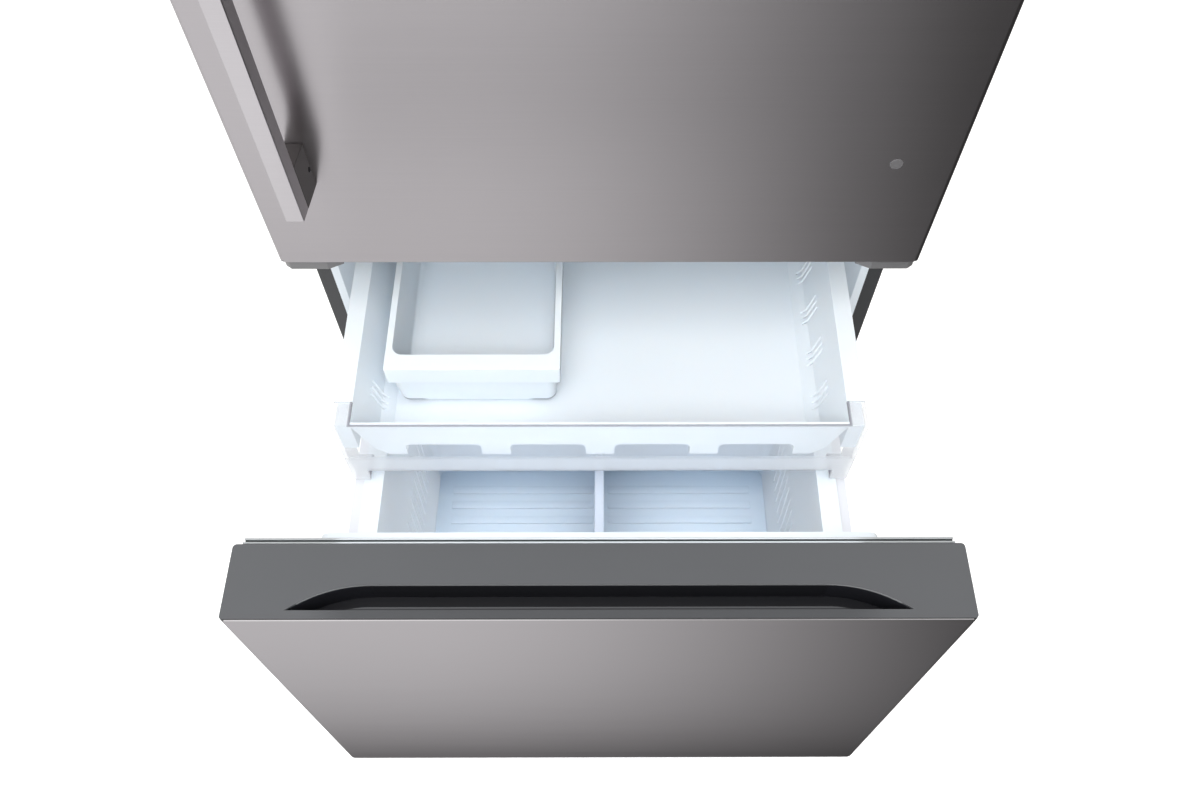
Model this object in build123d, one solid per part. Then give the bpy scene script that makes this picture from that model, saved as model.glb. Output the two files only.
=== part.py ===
"""A bottom freezer refrigerator with its freezer drawer, tray and bin pulled out.

Millimetres.  X is to the right, Y to the back and Z up.  Every piece is drawn with Y counted
from the front face of the closed upper door; place() then moves it so that the origin is on the
floor, at the centre of the space that the refrigerator takes up with its drawer open.
"""
import os

from build123d import *

# ---------------------------------------------------------------- driving sizes
width = 832.0  # doors and cabinet
case_top = 1737.0
case_bottom = 44.0
case_back = 802.0
split_height = 733.0  # middle of the gap between upper door and drawer
split_gap = 30.0
panel_depth = 91.0  # upper door and drawer front, from face to back
drawer_open = 475.7  # how far the drawer is pulled out
tray_open = 318.0  # how far the tray above it is pulled out

half = width / 2
door_top = case_top + 5.0
door_bottom = split_height + split_gap / 2
drawer_top = split_height - split_gap / 2
drawer_bottom = case_bottom + 4.0

# ---------------------------------------------------------------- clearances
running_gap = 0.3  # between pieces that move past each other or are clipped together
slide_gap = 0.5  # between the sections of a rail, up and down

# ---------------------------------------------------------------- sheets and walls
sheet = 1.0  # painted and stainless steel sheet
liner_wall = 2.0
bin_wall = 3.0
cap_wall = 3.0
base_sheet = 2.0
panel_corner = 6.0  # front vertical edges of door and drawer
panel_return = 34.0  # how far the stainless sheet turns in at the back
cap_height = 48.0
cap_plate = 3.0  # top or bottom plate of a cap
plate_setback = 0.2  # between the front sheet's edge and the cap's plate

# ---------------------------------------------------------------- cabinet front
gasket_thickness = 9.0
case_front = panel_depth + gasket_thickness  # front plane of the cabinet
case_flange = 21.0  # painted flange round the front
liner_flange = 12.0  # white flange inside it
front_rail = 62.0  # height of the painted rail between the two compartments
rail_bottom = split_height - front_rail / 2
rail_top = split_height + front_rail / 2
gasket_margin = 11.0  # from the edge of a panel to its gasket
gasket_width = 23.0
lead_in = 50.0  # depth of the sloped mouth of a compartment

# ---------------------------------------------------------------- compartments
fresh_half = half - 46.0
fresh_floor = rail_top + 22.0
fresh_ceiling = case_top - 47.0
fresh_back = case_back - 57.0
freezer_half = half - 60.0
freezer_floor = case_bottom + 48.0
freezer_ceiling = rail_bottom - 22.0
freezer_back = case_back - 102.0
liner_corner = 14.0
step_depth = 155.0
step_front = freezer_back - step_depth  # the freezer floor steps up over the compressor
step_top = freezer_floor + 243.0
back_inset = 10.0  # back panel, in from the cabinet's back edge
machine_front = step_front + 32.0
machine_top = step_top - 35.0

# ---------------------------------------------------------------- upper door
hinge_x = half - 14.0
hinge_y = panel_depth / 2 - 0.5
pin_radius = 5.0
plug_half = half - 71.0  # raised inner panel of door and drawer
plug_margin = 44.0  # from the edge of the panel to the raised part
door_plug_depth = 27.0
drawer_plug_depth = 36.0
dike_width = 27.0  # raised rib at each side of the door's inner panel
dike_depth = 67.0
dike_low = door_bottom + 82.0
dike_high = door_top - 70.0
dairy_roof = dike_high - 32.0
dairy_floor = dairy_roof - 140.0
door_bin_height = 110.0
door_bin_count = 3
door_bin_first = dike_low + 10.0
door_bin_pitch = (dairy_floor - dike_low) / door_bin_count
door_bin_depth = 76.0
dairy_lid_thickness = 3.0
dairy_pin_radius = 2.0

# ---------------------------------------------------------------- door handle
handle_width = 21.0
handle_left = -(half - 62.0)
handle_right = handle_left + handle_width
handle_reach = 72.0  # from the door's face to the front of the bar
handle_depth = 25.0  # of the bar
handle_low = door_bottom + 142.6  # lower end at the door's face
handle_post = 65.3  # height of a post at the door's face
handle_high = door_top - 142.0
handle_slant = 15.0  # the ends rise this much from door to bar front
plug_radius = 7.7
plug_height = 1.2

# ---------------------------------------------------------------- pocket grip of the drawer
pocket_half = half - 70.0
pocket_straight = half - 161.0  # half length of its straight back edge
pocket_front = 12.0
pocket_back = 41.4
pocket_depth = 38.0
pocket_wall = 2.5
lip_reach = 4.0  # finger lip along the front wall of the pocket
lip_drop = 2.0  # its top is this much under the cap's surface
lip_thickness = 8.0
lip_end = 27.0  # length of the curve at each end of the lip

# ---------------------------------------------------------------- middle and top hinges
cover_high = door_bottom - 3.0
cover_low = drawer_top + 6.0
cover_front = 8.0
cover_length = 76.0  # along the front rail
cover_inner = half - cover_length
cover_wall = 2.5
cover_bevel_x = 19.0  # cut corners of the cover, seen from above
cover_bevel_y = 9.0
cover_corner = 6.0
hinge_plate = 4.0
hinge_shoulder = 9.0
top_cover_height = 35.0
top_cover_length = 190.0

# ---------------------------------------------------------------- basket
plug_back = panel_depth + liner_wall + drawer_plug_depth  # back of the drawer's inner panel
basket_front = plug_back + 2.0
basket_length = step_front - basket_front - 25.0
basket_rim_half = half - 79.0
basket_half = half - 106.0
basket_floor_half = half - 120.0
basket_rim = freezer_ceiling - 190.0
basket_bottom = freezer_floor + 25.0
divider_x = -1.5
divider_wall = 3.0
divider_cap = 13.0
vent_width = 4.0
vent_height = 110.0
vent_count = 14
vent_pitch = (basket_length - 109.0) / vent_count
vent_middle = (basket_bottom + basket_rim) / 2 - 35.5
vent_lean = 7.0  # degrees
floor_rib_count = 10
floor_rib_pitch = (basket_length - 89.0) / floor_rib_count
floor_rib_height = 3.0

# ---------------------------------------------------------------- drawer rails
evaporator_cover_y = freezer_back - 60.0
rail_height = 45.0
rail_high = basket_rim - 5.0
rail_low = rail_high - rail_height
rail_sheet = 1.5
rail_lip = 8.5  # how far the outer section's lips reach in
rail_shelf = half - 86.0  # inner edge of the inner section's carrying lip
rail_outer_front = case_front + 55.0
rail_outer_back = evaporator_cover_y
rail_middle_front = case_front + 40.0
rail_middle_back = rail_outer_back - 50.0
rail_inner_length = rail_middle_back - plug_back - 14.0

# ---------------------------------------------------------------- tray and bin
tray_shut = plug_back + 1.0  # front of the tray when the drawer is shut
tray_front = tray_shut - tray_open
tray_length = evaporator_cover_y - tray_shut - 22.0
tray_half = half - 66.0
tray_mouth_half = half - 90.5
tray_knee_half = half - 114.0
tray_floor_half = half - 130.0
tray_rim = freezer_ceiling - 36.0
tray_depth = 77.0
tray_floor = tray_rim - tray_depth
tray_knee = tray_floor + 15.0
tray_rim_thickness = 4.0
trim_height = 147.1
trim_high = tray_rim + 0.6
trim_low = trim_high - trim_height
trim_wall = 4.0
trim_side_depth = 39.0
trim_step = 25.5  # between the ends the trim stops this much higher
notch_low = tray_floor + 2.0
notch_high = tray_floor + 25.0
notch_count = 4
notch_pitch = (tray_floor_half - 4.0) / 2
notch_half = notch_pitch / 2 - 19.5
notch_reach = 12.0  # how far each notch cuts back into the tray's floor
slot_width = 4.0
slot_height = 34.0
slot_pitch = 10.0
slot_groups = 6
slot_group_pitch = (tray_length - 50.0) / slot_groups
slot_first = tray_front + 81.0
slot_middle = tray_floor + 25.0
slot_lean = 12.0  # degrees
slots_per_group = 3
guide_front = case_front + 75.0
guide_back = evaporator_cover_y - 5.0
guide_height = 14.0
guide_reach = 26.0
bin_left = -(tray_knee_half - 15.0)
bin_right = -53.0
bin_front = tray_front + 78.0
bin_length = tray_length - 198.0
bin_rim = tray_rim + 16.0
bin_band = 30.0
bin_rim_side = 8.5
bin_rim_front = 25.0
bin_taper = 6.0
bin_corner = 14.0
bin_foot = 9.0  # radius round the foot of the bin

# ---------------------------------------------------------------- shelves and crispers
shelf_count = 2
shelf_glass_thickness = 5.0
shelf_frame_height = 16.0
shelf_frame_width = 14.0
shelf_rib = 10.0
door_bin_back = panel_depth + liner_wall + door_plug_depth + running_gap + door_bin_depth
shelf_front = door_bin_back + 39.0
crisper_travel = 78.0  # free travel behind the shut upper door
crisper_grip = 12.0
crisper_front = door_bin_back + crisper_grip + crisper_travel + 4.0
crisper_length = fresh_back - crisper_front - 35.0
crisper_height = 200.0
crisper_gap = 6.0  # between the two crispers
crisper_cover_thickness = 6.0
crisper_cover_level = fresh_floor + 2 * running_gap + crisper_height + 3 * bin_wall
crisper_side_gap = 6.0
shelf_pitch = (fresh_ceiling - crisper_cover_level) / (shelf_count + 1)

# ---------------------------------------------------------------- cooling pieces
evaporator_cover_sheet = 3.0
evaporator_half = half - 166.0
evaporator_low = step_top + 35.0
evaporator_high = freezer_ceiling - 120.0
fin_count = 21
fin_sheet = 1.0
evaporator_tube = 4.0
evaporator_rows = 6
fan_hub = 16.0
fan_blades = 5
fan_pitch = 30.0  # degrees
fan_shaft = 2.5
evaporator_fan_radius = 48.0
evaporator_fan_z = freezer_ceiling - 58.0
air_slot_rows = 4
air_slot_half = half - 326.0
air_slot_x = half - 216.0
air_slot_height = 6.0
air_slot_pitch = 16.0
condenser_fan_radius = 70.0
condenser_fan_gap = 4.0  # between the fan and its shroud
fan_thickness = 14.0
compressor_x = -(half - 211.0)
compressor_y = case_back - 112.0
compressor_radius = 82.0
compressor_height = machine_top - case_bottom - 66.0
compressor_foot_x = 95.0
compressor_foot_y = 75.0
compressor_shoulder = 0.35  # share of the radius that its foot is rounded by
dome_across = 0.72  # a point on the dome, as shares of the radius
dome_down = 0.15
grommet_height = 12.0
grommet_radius = 13.0
foot_plate = 3.0
shroud_x = 5.0
shroud_half = 95.0
condenser_left = shroud_x + 65.0
condenser_right = half - 86.0
condenser_y = case_back - 112.0
condenser_tube = 3.0
condenser_rows = 8
condenser_low = case_bottom + 32.0
condenser_pitch = (machine_top - case_bottom - 56.0) / condenser_rows
condenser_bend = 0.45  # radius of the bends, as a share of the pitch
motor_radius = 20.0
motor_length = 34.0

# ---------------------------------------------------------------- base
roller_radius = 16.0
roller_width = 14.0
roller_x = half - 71.0
front_roller_y = case_front + 90.0
rear_roller_y = case_back - 62.0
front_roller_lift = 3.0  # the legs hold the front rollers off the floor
axle_radius = 3.0
bracket_sheet = 2.0
leg_x = half - 44.0
leg_y = case_front + 35.0
leg_radius = 5.0
leg_foot_radius = 17.0
leg_foot_height = 8.0
leg_top = case_bottom + 16.0
grille_low = 10.0
grille_half = half - 21.0
grille_slots = 9
grille_open = 0.4  # half of a slot, as a share of the pitch
vent_slots = 12
vent_open = 0.35
vent_rows = 4
cover_vent_height = 8.0
cover_vent_first = 40.0
cover_vent_pitch = (machine_top - case_bottom - 76.0) / vent_rows

# ---------------------------------------------------------------- lamp and switch
lamp_half = half - 226.0
lamp_front = shelf_front + 115.0
lamp_length = 230.0
lamp_height = 22.0
switch_x = -(half - 116.0)
switch_z = door_bottom + 5.5
switch_radius = 3.5
switch_length = 20.0
switch_travel = 3.0
switch_collar = 2.5  # how far the collar may reach below the button's axis

# ---------------------------------------------------------------- worked out
core_half = half - sheet - running_gap
gasket_seat = panel_depth
gasket_back = case_front - running_gap
gasket_half = half - gasket_margin
opening_half = half - case_flange - liner_flange
fresh_mouth_low = rail_top + liner_flange
fresh_mouth_high = case_top - case_flange - liner_flange
freezer_mouth_high = rail_bottom - liner_flange
freezer_mouth_low = case_bottom + case_flange + liner_flange
base_top = case_bottom + base_sheet
back_panel_back = case_back - back_inset
post_back = handle_reach - handle_depth
origin_y = (case_back - drawer_open) / 2
tray_back = tray_front + tray_length
shelf_levels = [crisper_cover_level + shelf_pitch * (count + 1) for count in range(shelf_count)]
door_bin_levels = [door_bin_first + door_bin_pitch * count for count in range(door_bin_count)]
notch_centres = [notch_pitch * (count + (1 - notch_count) / 2) for count in range(notch_count)]
drawer_shift = Pos(0, -drawer_open, 0)


def block(x0, x1, y0, y1, z0, z1):
    """A box between two opposite corners."""
    return Pos((x0 + x1) / 2, (y0 + y1) / 2, (z0 + z1) / 2) * Box(x1 - x0, y1 - y0, z1 - z0)


def rod(radius, start, direction, length):
    """A round bar from a point, along a direction."""
    return Plane(origin=start, z_dir=direction) * Cylinder(
        radius, length, align=(Align.CENTER, Align.CENTER, Align.MIN)
    )


def across(points, x0, x1):
    """A prism along X with its outline given in Y and Z."""
    outline = make_face(Polyline(*points, close=True))
    return Pos(x0, 0, 0) * extrude(Plane.YZ * outline, x1 - x0)


def along(points, y0, y1):
    """A prism along Y with its outline given in X and Z."""
    outline = make_face(Polyline(*points, close=True))
    plane = Plane(origin=(0, y1, 0), x_dir=(1, 0, 0), z_dir=(0, -1, 0))
    return extrude(plane * outline, y1 - y0)


def upright(points, z0, z1):
    """A prism along Z with its outline given in X and Y."""
    return Pos(0, 0, z0) * extrude(make_face(Polyline(*points, close=True)), z1 - z0)


def round_frame(half_width, z0, z1, y, radius):
    """A rounded rectangle that stands at a given depth."""
    plane = Plane(origin=(0, y, (z0 + z1) / 2), x_dir=(1, 0, 0), z_dir=(0, -1, 0))
    return plane * RectangleRounded(2 * half_width, z1 - z0, radius)


def funnel(front, back):
    """A loft between two standing rounded rectangles, each (half width, low, high, depth, radius)."""
    return loft([round_frame(*front), round_frame(*back)])


def cup(x0, x1, y0, y1, z0, z1, taper, corner):
    """A tapered block with rounded upright edges, smaller at its foot."""
    centre = ((x0 + x1) / 2, (y0 + y1) / 2)
    foot = RectangleRounded(x1 - x0 - 2 * taper, y1 - y0 - 2 * taper, corner)
    mouth = RectangleRounded(x1 - x0, y1 - y0, corner)
    return loft([Pos(*centre, z0) * foot, Pos(*centre, z1) * mouth])


def mirrored(solid):
    """The same solid on the other side of the refrigerator."""
    return mirror(solid, about=Plane.YZ)


def pair(solid):
    """A solid and its mirror image, as two separate solids."""
    return [solid, mirrored(solid)]


# ---------------------------------------------------------------- front panels
def panel_core(z0, z1):
    """The space inside the stainless sheet of a front panel, with its clearance."""
    core = block(-core_half, core_half, sheet + running_gap, panel_depth - sheet - running_gap, z0, z1)
    front_edges = core.edges().filter_by(Axis.Z).sort_by(Axis.Y)[:2]
    core = fillet(front_edges, panel_corner - sheet - running_gap)
    pad_half = half - panel_return - running_gap
    return core + block(-pad_half, pad_half, panel_depth - 2 * sheet, panel_depth, z0, z1)


def panel_skin(z0, z1):
    """The stainless sheet: front, two sides and two narrow returns at the back."""
    low, high = z0 + cap_plate, z1 - cap_plate
    outer = block(-half, half, 0, panel_depth, low, high)
    outer = fillet(outer.edges().filter_by(Axis.Z).sort_by(Axis.Y)[:2], panel_corner)
    inner = block(-half + sheet, half - sheet, sheet, panel_depth - sheet, low, high)
    inner = fillet(inner.edges().filter_by(Axis.Z).sort_by(Axis.Y)[:2], panel_corner - sheet)
    window_half = half - panel_return
    window = block(-window_half, window_half, sheet, panel_depth, low, high)
    edge_half = half - panel_corner
    top_edge = block(-edge_half, edge_half, 0, sheet, high, z1 - running_gap)
    bottom_edge = block(-edge_half, edge_half, 0, sheet, z0 + running_gap, low)
    return outer - inner - window + top_edge + bottom_edge


def cap_plate_solid(z0, z1):
    """The visible end plate of a front panel."""
    front = sheet + plate_setback
    plate = block(-half, half, front, panel_depth, z0, z1)
    return fillet(plate.edges().filter_by(Axis.Z), panel_corner - front)


def hollow(z0, z1):
    """The space inside the skirt of a cap, which the foam fills."""
    return block(
        -core_half + cap_wall,
        core_half - cap_wall,
        sheet + running_gap + cap_wall,
        panel_depth - 2 * sheet - cap_wall,
        z0,
        z1,
    )


def top_cap(top):
    """Plastic cap that closes a front panel at its top."""
    skirt = panel_core(top - cap_height, top - cap_plate)
    plate = cap_plate_solid(top - cap_plate, top)
    return plate + skirt - hollow(top - cap_height, top - cap_plate)


def bottom_cap(bottom):
    """Plastic cap that closes a front panel at its foot."""
    skirt = panel_core(bottom + cap_plate, bottom + cap_height)
    plate = cap_plate_solid(bottom, bottom + cap_plate)
    return plate + skirt - hollow(bottom + cap_plate, bottom + cap_height)


def plug_block(z0, z1, depth, wall):
    """The raised part of an inner panel, or its hollow when a wall is given."""
    low, high = z0 + plug_margin + wall, z1 - plug_margin - wall
    start = gasket_seat + liner_wall
    corner = liner_corner - wall
    near = (plug_half - wall, low, high, start, corner)
    slope = depth / 4
    far = (plug_half - wall - slope, low + slope, high - slope, start + depth - wall, corner)
    return funnel(near, far)


def plug_neck(z0, z1, wall):
    """The part of a raised inner panel that passes through its flange."""
    low, high = z0 + plug_margin + wall, z1 - plug_margin - wall
    face = round_frame(plug_half - wall, low, high, gasket_seat + liner_wall, liner_corner - wall)
    return extrude(face, liner_wall)


def inner_panel(z0, z1, depth):
    """Moulded white panel on the back of a front panel."""
    margin = gasket_margin + gasket_width + running_gap
    flange_half = half - margin
    flange = block(-flange_half, flange_half, gasket_seat, gasket_seat + liner_wall, z0 + margin, z1 - margin)
    raised = plug_block(z0, z1, depth, 0)
    return flange + raised - plug_block(z0, z1, depth, liner_wall) - plug_neck(z0, z1, liner_wall)


def panel_foam(z0, z1, depth):
    """Foam between the sheet, the caps and the inner panel."""
    foam = panel_core(z0 + cap_height, z1 - cap_height)
    foam += hollow(z0 + cap_plate, z0 + cap_height)
    foam += hollow(z1 - cap_height, z1 - cap_plate)
    foam += plug_block(z0, z1, depth, liner_wall + running_gap)
    return foam + plug_neck(z0, z1, liner_wall + running_gap)


def gasket(z0, z1):
    """Magnetic door seal: a soft frame with a groove round its face."""
    low, high = z0 + gasket_margin, z1 - gasket_margin
    seal = block(-gasket_half, gasket_half, gasket_seat, gasket_back, low, high)
    inner_half = gasket_half - gasket_width
    seal -= block(-inner_half, inner_half, gasket_seat, gasket_back, low + gasket_width, high - gasket_width)
    groove = gasket_width / 3
    groove_depth = (gasket_back - gasket_seat) / 3
    ring = block(
        -gasket_half + groove,
        gasket_half - groove,
        gasket_back - groove_depth,
        gasket_back,
        low + groove,
        high - groove,
    )
    ring -= block(
        -inner_half - groove,
        inner_half + groove,
        gasket_back - groove_depth,
        gasket_back,
        low + gasket_width - groove,
        high - gasket_width + groove,
    )
    return seal - ring


# ---------------------------------------------------------------- upper door
def door_skin():
    """The upper door's sheet-metal skin."""
    return panel_skin(door_bottom, door_top)


def door_gasket():
    """The upper door's soft seal."""
    return gasket(door_bottom, door_top)


def door_top_cap():
    """Cap with the hole that takes the top hinge pin."""
    hole = rod(pin_radius + running_gap, (hinge_x, hinge_y, door_top - cap_height), (0, 0, 1), cap_height)
    return top_cap(door_top) + pin_socket(door_top - cap_height, door_top - cap_plate) - hole


def door_bottom_cap():
    """Cap with the hole that takes the middle hinge pin."""
    hole = rod(pin_radius + running_gap, (hinge_x, hinge_y, door_bottom), (0, 0, 1), cap_height)
    return bottom_cap(door_bottom) + pin_socket(door_bottom + cap_plate, door_bottom + cap_height) - hole


def pin_socket(z0, z1):
    """Thick column round a hinge pin, inside a cap."""
    reach = core_half - hinge_x
    return block(hinge_x - reach, core_half, hinge_y - reach, hinge_y + reach, z0, z1)


def door_foam():
    """Foam of the upper door, cut away round the hinge pin sockets."""
    foam = panel_foam(door_bottom, door_top, door_plug_depth)
    foam -= pin_socket(door_bottom, door_bottom + cap_height)
    return foam - pin_socket(door_top - cap_height, door_top)


def dike_face():
    """Depth of the face that the door liner's dikes stand on."""
    return gasket_seat + liner_wall + door_plug_depth


def door_liner():
    """Inner panel with a dike at each side and the shelf and roof of the dairy compartment."""
    panel = inner_panel(door_bottom, door_top, door_plug_depth)
    outer = plug_half - door_plug_depth / 4
    inner = outer - dike_width
    front = dike_face()
    dike = block(inner, outer, front, front + dike_depth, dike_low, dike_high)
    dike = fillet(dike.edges().filter_by(Axis.Z).sort_by(Axis.Y)[2:], dike_width / 4)
    panel += dike
    panel += mirrored(dike)
    panel += block(-inner, inner, front, front + dike_depth, dairy_floor - bin_wall, dairy_floor)
    panel += block(-inner, inner, front, front + dike_depth, dairy_roof, dairy_roof + bin_wall)
    hole_radius = dairy_pin_radius + running_gap
    reach = dairy_pin_reach()
    panel -= rod(
        hole_radius, (-reach - running_gap, dairy_axis_y(), dairy_axis_z()), (1, 0, 0),
        2 * reach + 2 * running_gap
    )
    return panel


def dairy_axis_y():
    """Depth of the axis that the dairy lid turns on."""
    return dike_face() + dike_depth - dairy_lid_thickness


def dairy_axis_z():
    """Height of the axis that the dairy lid turns on."""
    return dairy_roof - dairy_lid_thickness - running_gap


def dairy_half():
    """Half of the dairy lid's length."""
    return plug_half - door_plug_depth / 4 - dike_width


def dairy_pin_reach():
    """Distance from the middle to the end of the dairy lid's pins."""
    return dairy_half() + dairy_lid_thickness + running_gap


def dairy_lid():
    """Clear lid that swings up on two pins."""
    half_width = dairy_half() - running_gap
    back = dike_face() + dike_depth
    thickness = dairy_lid_thickness
    low = dairy_floor + running_gap
    lid = block(-half_width, half_width, back - thickness, back, low, dairy_axis_z())
    lid += rod(thickness / 2, (-half_width, dairy_axis_y(), dairy_axis_z()), (1, 0, 0), 2 * half_width)
    grip_depth = 3 * thickness
    lid += block(-half_width / 3, half_width / 3, back, back + grip_depth, low, low + thickness)
    reach = dairy_pin_reach()
    return lid + rod(dairy_pin_radius, (-reach, dairy_axis_y(), dairy_axis_z()), (1, 0, 0), 2 * reach)


def door_bins():
    """Three open bins that hang between the dikes."""
    half_width = dairy_half() - running_gap
    front = dike_face() + running_gap
    back = front + door_bin_depth
    bins = []
    for level in door_bin_levels:
        high = level + door_bin_height
        outer = block(-half_width, half_width, front, back, level, high)
        outer = fillet(outer.edges().filter_by(Axis.Z), 2 * bin_wall)
        inner = block(
            -half_width + bin_wall, half_width - bin_wall, front + bin_wall,
            back - bin_wall, level + bin_wall, high
        )
        inner = fillet(inner.edges().filter_by(Axis.Z), bin_wall)
        bins.append(outer - inner)
    return bins


def handle_outline(lower):
    """Side outline of a handle post, in Y and Z; the upper one is turned over."""
    rise = handle_slant * post_back / handle_reach
    foot = [(0, 0), (0, handle_post), (-post_back, handle_post + rise), (-post_back, rise)]
    if lower:
        return [(y, handle_low + z) for y, z in foot]
    return [(y, handle_high - z) for y, z in foot]


def handle_posts():
    """The two posts that carry the bar."""
    return [across(handle_outline(lower), handle_left, handle_right) for lower in (True, False)]


def handle_bar():
    """Straight bar with slanted ends."""
    rise = handle_slant * post_back / handle_reach
    outline = [
        (-post_back, handle_low + rise),
        (-handle_reach, handle_low + handle_slant),
        (-handle_reach, handle_high - handle_slant),
        (-post_back, handle_high - rise),
    ]
    return across(outline, handle_left, handle_right)


def hole_plugs():
    """Round plugs over the handle's spare holes on the other side of the door."""
    x = -(handle_left + handle_right) / 2
    spare = handle_low + handle_post / 2
    levels = (spare, handle_high - handle_post / 2)
    plugs = [rod(plug_radius, (x, 0, z), (0, -1, 0), plug_height) for z in levels]
    return [chamfer(plug.edges().group_by(Axis.Y)[0], plug_height / 2) for plug in plugs]


# ---------------------------------------------------------------- freezer drawer
def pocket(z0, z1, wall):
    """The grip's hollow: straight at the back, with a long curve to each front corner."""
    front = pocket_front - wall
    back = pocket_back + wall
    end = pocket_half + wall
    front_line = Line((-end, front), (end, front))
    right = TangentArc([(pocket_straight, back), (end, front)], tangent=(1, 0))
    back_line = Line((-pocket_straight, back), (pocket_straight, back))
    left = TangentArc([(-pocket_straight, back), (-end, front)], tangent=(-1, 0))
    outline = make_face([front_line, right, back_line, left])
    return Pos(0, 0, z0) * extrude(outline, z1 - z0)


def pocket_lip():
    """Finger lip along the front wall of the pocket, running out in a curve at each end."""
    back = pocket_front + lip_reach
    root = pocket_front - pocket_wall / 2
    end = pocket_straight + lip_end
    root_line = Line((-end, root), (end, root))
    right_side = Line((end, root), (end, pocket_front))
    right = TangentArc([(pocket_straight, back), (end, pocket_front)], tangent=(1, 0))
    back_line = Line((-pocket_straight, back), (pocket_straight, back))
    left = TangentArc([(-pocket_straight, back), (-end, pocket_front)], tangent=(-1, 0))
    left_side = Line((-end, root), (-end, pocket_front))
    outline = make_face([root_line, right_side, right, back_line, left, left_side])
    top = drawer_top - lip_drop
    return Pos(0, 0, top - lip_thickness) * extrude(outline, lip_thickness)


def drawer_top_cap():
    """Cap with the pocket grip moulded in."""
    floor = drawer_top - pocket_depth
    cup_outer = pocket(floor - pocket_wall, drawer_top - cap_plate, pocket_wall)
    cap = top_cap(drawer_top) + cup_outer
    return drawer_shift * (cap - pocket(floor, drawer_top, 0) + pocket_lip())


def drawer_foam():
    """Foam of the drawer front, cut away under the pocket grip."""
    foam = panel_foam(drawer_bottom, drawer_top, drawer_plug_depth)
    floor = drawer_top - pocket_depth - pocket_wall
    return drawer_shift * (foam - pocket(floor, drawer_top, pocket_wall))


def drawer_skin():
    """The freezer drawer's sheet-metal skin."""
    return drawer_shift * panel_skin(drawer_bottom, drawer_top)


def drawer_bottom_cap():
    """The moulded cap under the drawer's front."""
    return drawer_shift * bottom_cap(drawer_bottom)


def drawer_liner():
    """The drawer front's inner panel."""
    return drawer_shift * inner_panel(drawer_bottom, drawer_top, drawer_plug_depth)


def drawer_gasket():
    """The drawer front's soft seal."""
    return drawer_shift * gasket(drawer_bottom, drawer_top)


def channel(x_web, x_lip, z0, z1, y0, y1):
    """A rail section: an upright web with a lip at its top and at its foot."""
    towards = 1 if x_web > x_lip else -1
    web = block(
        min(x_web - towards * rail_sheet, x_web), max(x_web - towards * rail_sheet, x_web), y0, y1, z0,
        z1
    )
    low_lip = block(min(x_lip, x_web), max(x_lip, x_web), y0, y1, z0, z0 + rail_sheet)
    high_lip = block(min(x_lip, x_web), max(x_lip, x_web), y0, y1, z1 - rail_sheet, z1)
    return web + low_lip + high_lip


def rail_outer():
    """Outer rail sections, screwed to the freezer's walls."""
    section = channel(
        freezer_half, freezer_half - rail_lip, rail_low, rail_high, rail_outer_front, rail_outer_back
    )
    return pair(section)


def rail_middle():
    """Middle rail sections, half way out with the drawer."""
    web = freezer_half - rail_sheet - running_gap
    inset = rail_sheet + slide_gap
    lip = web - rail_lip
    section = channel(web, lip, rail_low + inset, rail_high - inset, rail_middle_front, rail_middle_back)
    return pair(Pos(0, -drawer_open / 2, 0) * section)


def rail_inner():
    """Inner rail sections, which carry the drawer front and the basket."""
    web = freezer_half - 2 * (rail_sheet + running_gap)
    inset = 2 * (rail_sheet + slide_gap)
    high = rail_high - inset
    front = plug_back + running_gap
    back = front + rail_inner_length
    section = channel(web, web - rail_lip, rail_low + inset, high, front, back)
    section += block(rail_shelf, web, front, back, high - rail_sheet, high)
    return pair(drawer_shift * section)


def basket_rail_top():
    """Height of the rail faces that the basket hangs on."""
    return rail_high - 2 * (rail_sheet + slide_gap)


def basket_vents(x0, x1):
    """Slanted vents through one side wall."""
    middle = basket_front + basket_length / 2
    first = middle - vent_pitch * (vent_count - 1) / 2
    vents = []
    for index in range(vent_count):
        place = Pos((x0 + x1) / 2, first + index * vent_pitch, vent_middle) * Rot(-vent_lean, 0, 0)
        vents.append(place * Box(x1 - x0, vent_width, vent_height))
    return vents


def basket():
    """White lower basket with vents in its sides and ribs across its floor."""
    back = basket_front + basket_length
    slope = basket_half - basket_floor_half
    rim_under = basket_rail_top() + running_gap
    wall = bin_wall
    outer = cup(
        -basket_half - wall,
        basket_half + wall,
        basket_front + wall,
        back - wall,
        basket_bottom,
        basket_rim,
        slope,
        liner_corner + wall,
    )
    inner = cup(
        -basket_half,
        basket_half,
        basket_front + 2 * wall,
        back - 2 * wall,
        basket_bottom + wall,
        basket_rim,
        slope,
        liner_corner,
    )
    rim = block(-basket_rim_half, basket_rim_half, basket_front, back, rim_under, basket_rim)
    rim = fillet(rim.edges().filter_by(Axis.Z), 2 * wall)
    body = outer + rim - inner
    for vent in basket_vents(basket_floor_half - wall, basket_half + 2 * wall):
        body -= vent
        body -= mirrored(vent)
    for rib in floor_ribs():
        body += rib
    return drawer_shift * body


def floor_ribs():
    """Low ribs across the basket's floor, one row each side of the divider."""
    middle = basket_front + basket_length / 2
    first = middle - floor_rib_pitch * (floor_rib_count - 1) / 2
    reach = basket_floor_half - 2 * liner_corner
    floor = basket_bottom + bin_wall
    ribs = []
    for index in range(floor_rib_count):
        y = first + index * floor_rib_pitch
        for side in (-1, 1):
            near = divider_x + side * divider_cap
            far = side * reach
            ribs.append(
                block(min(near, far), max(near, far), y - bin_wall, y + bin_wall, floor, floor + floor_rib_height)
            )
    return ribs


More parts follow.
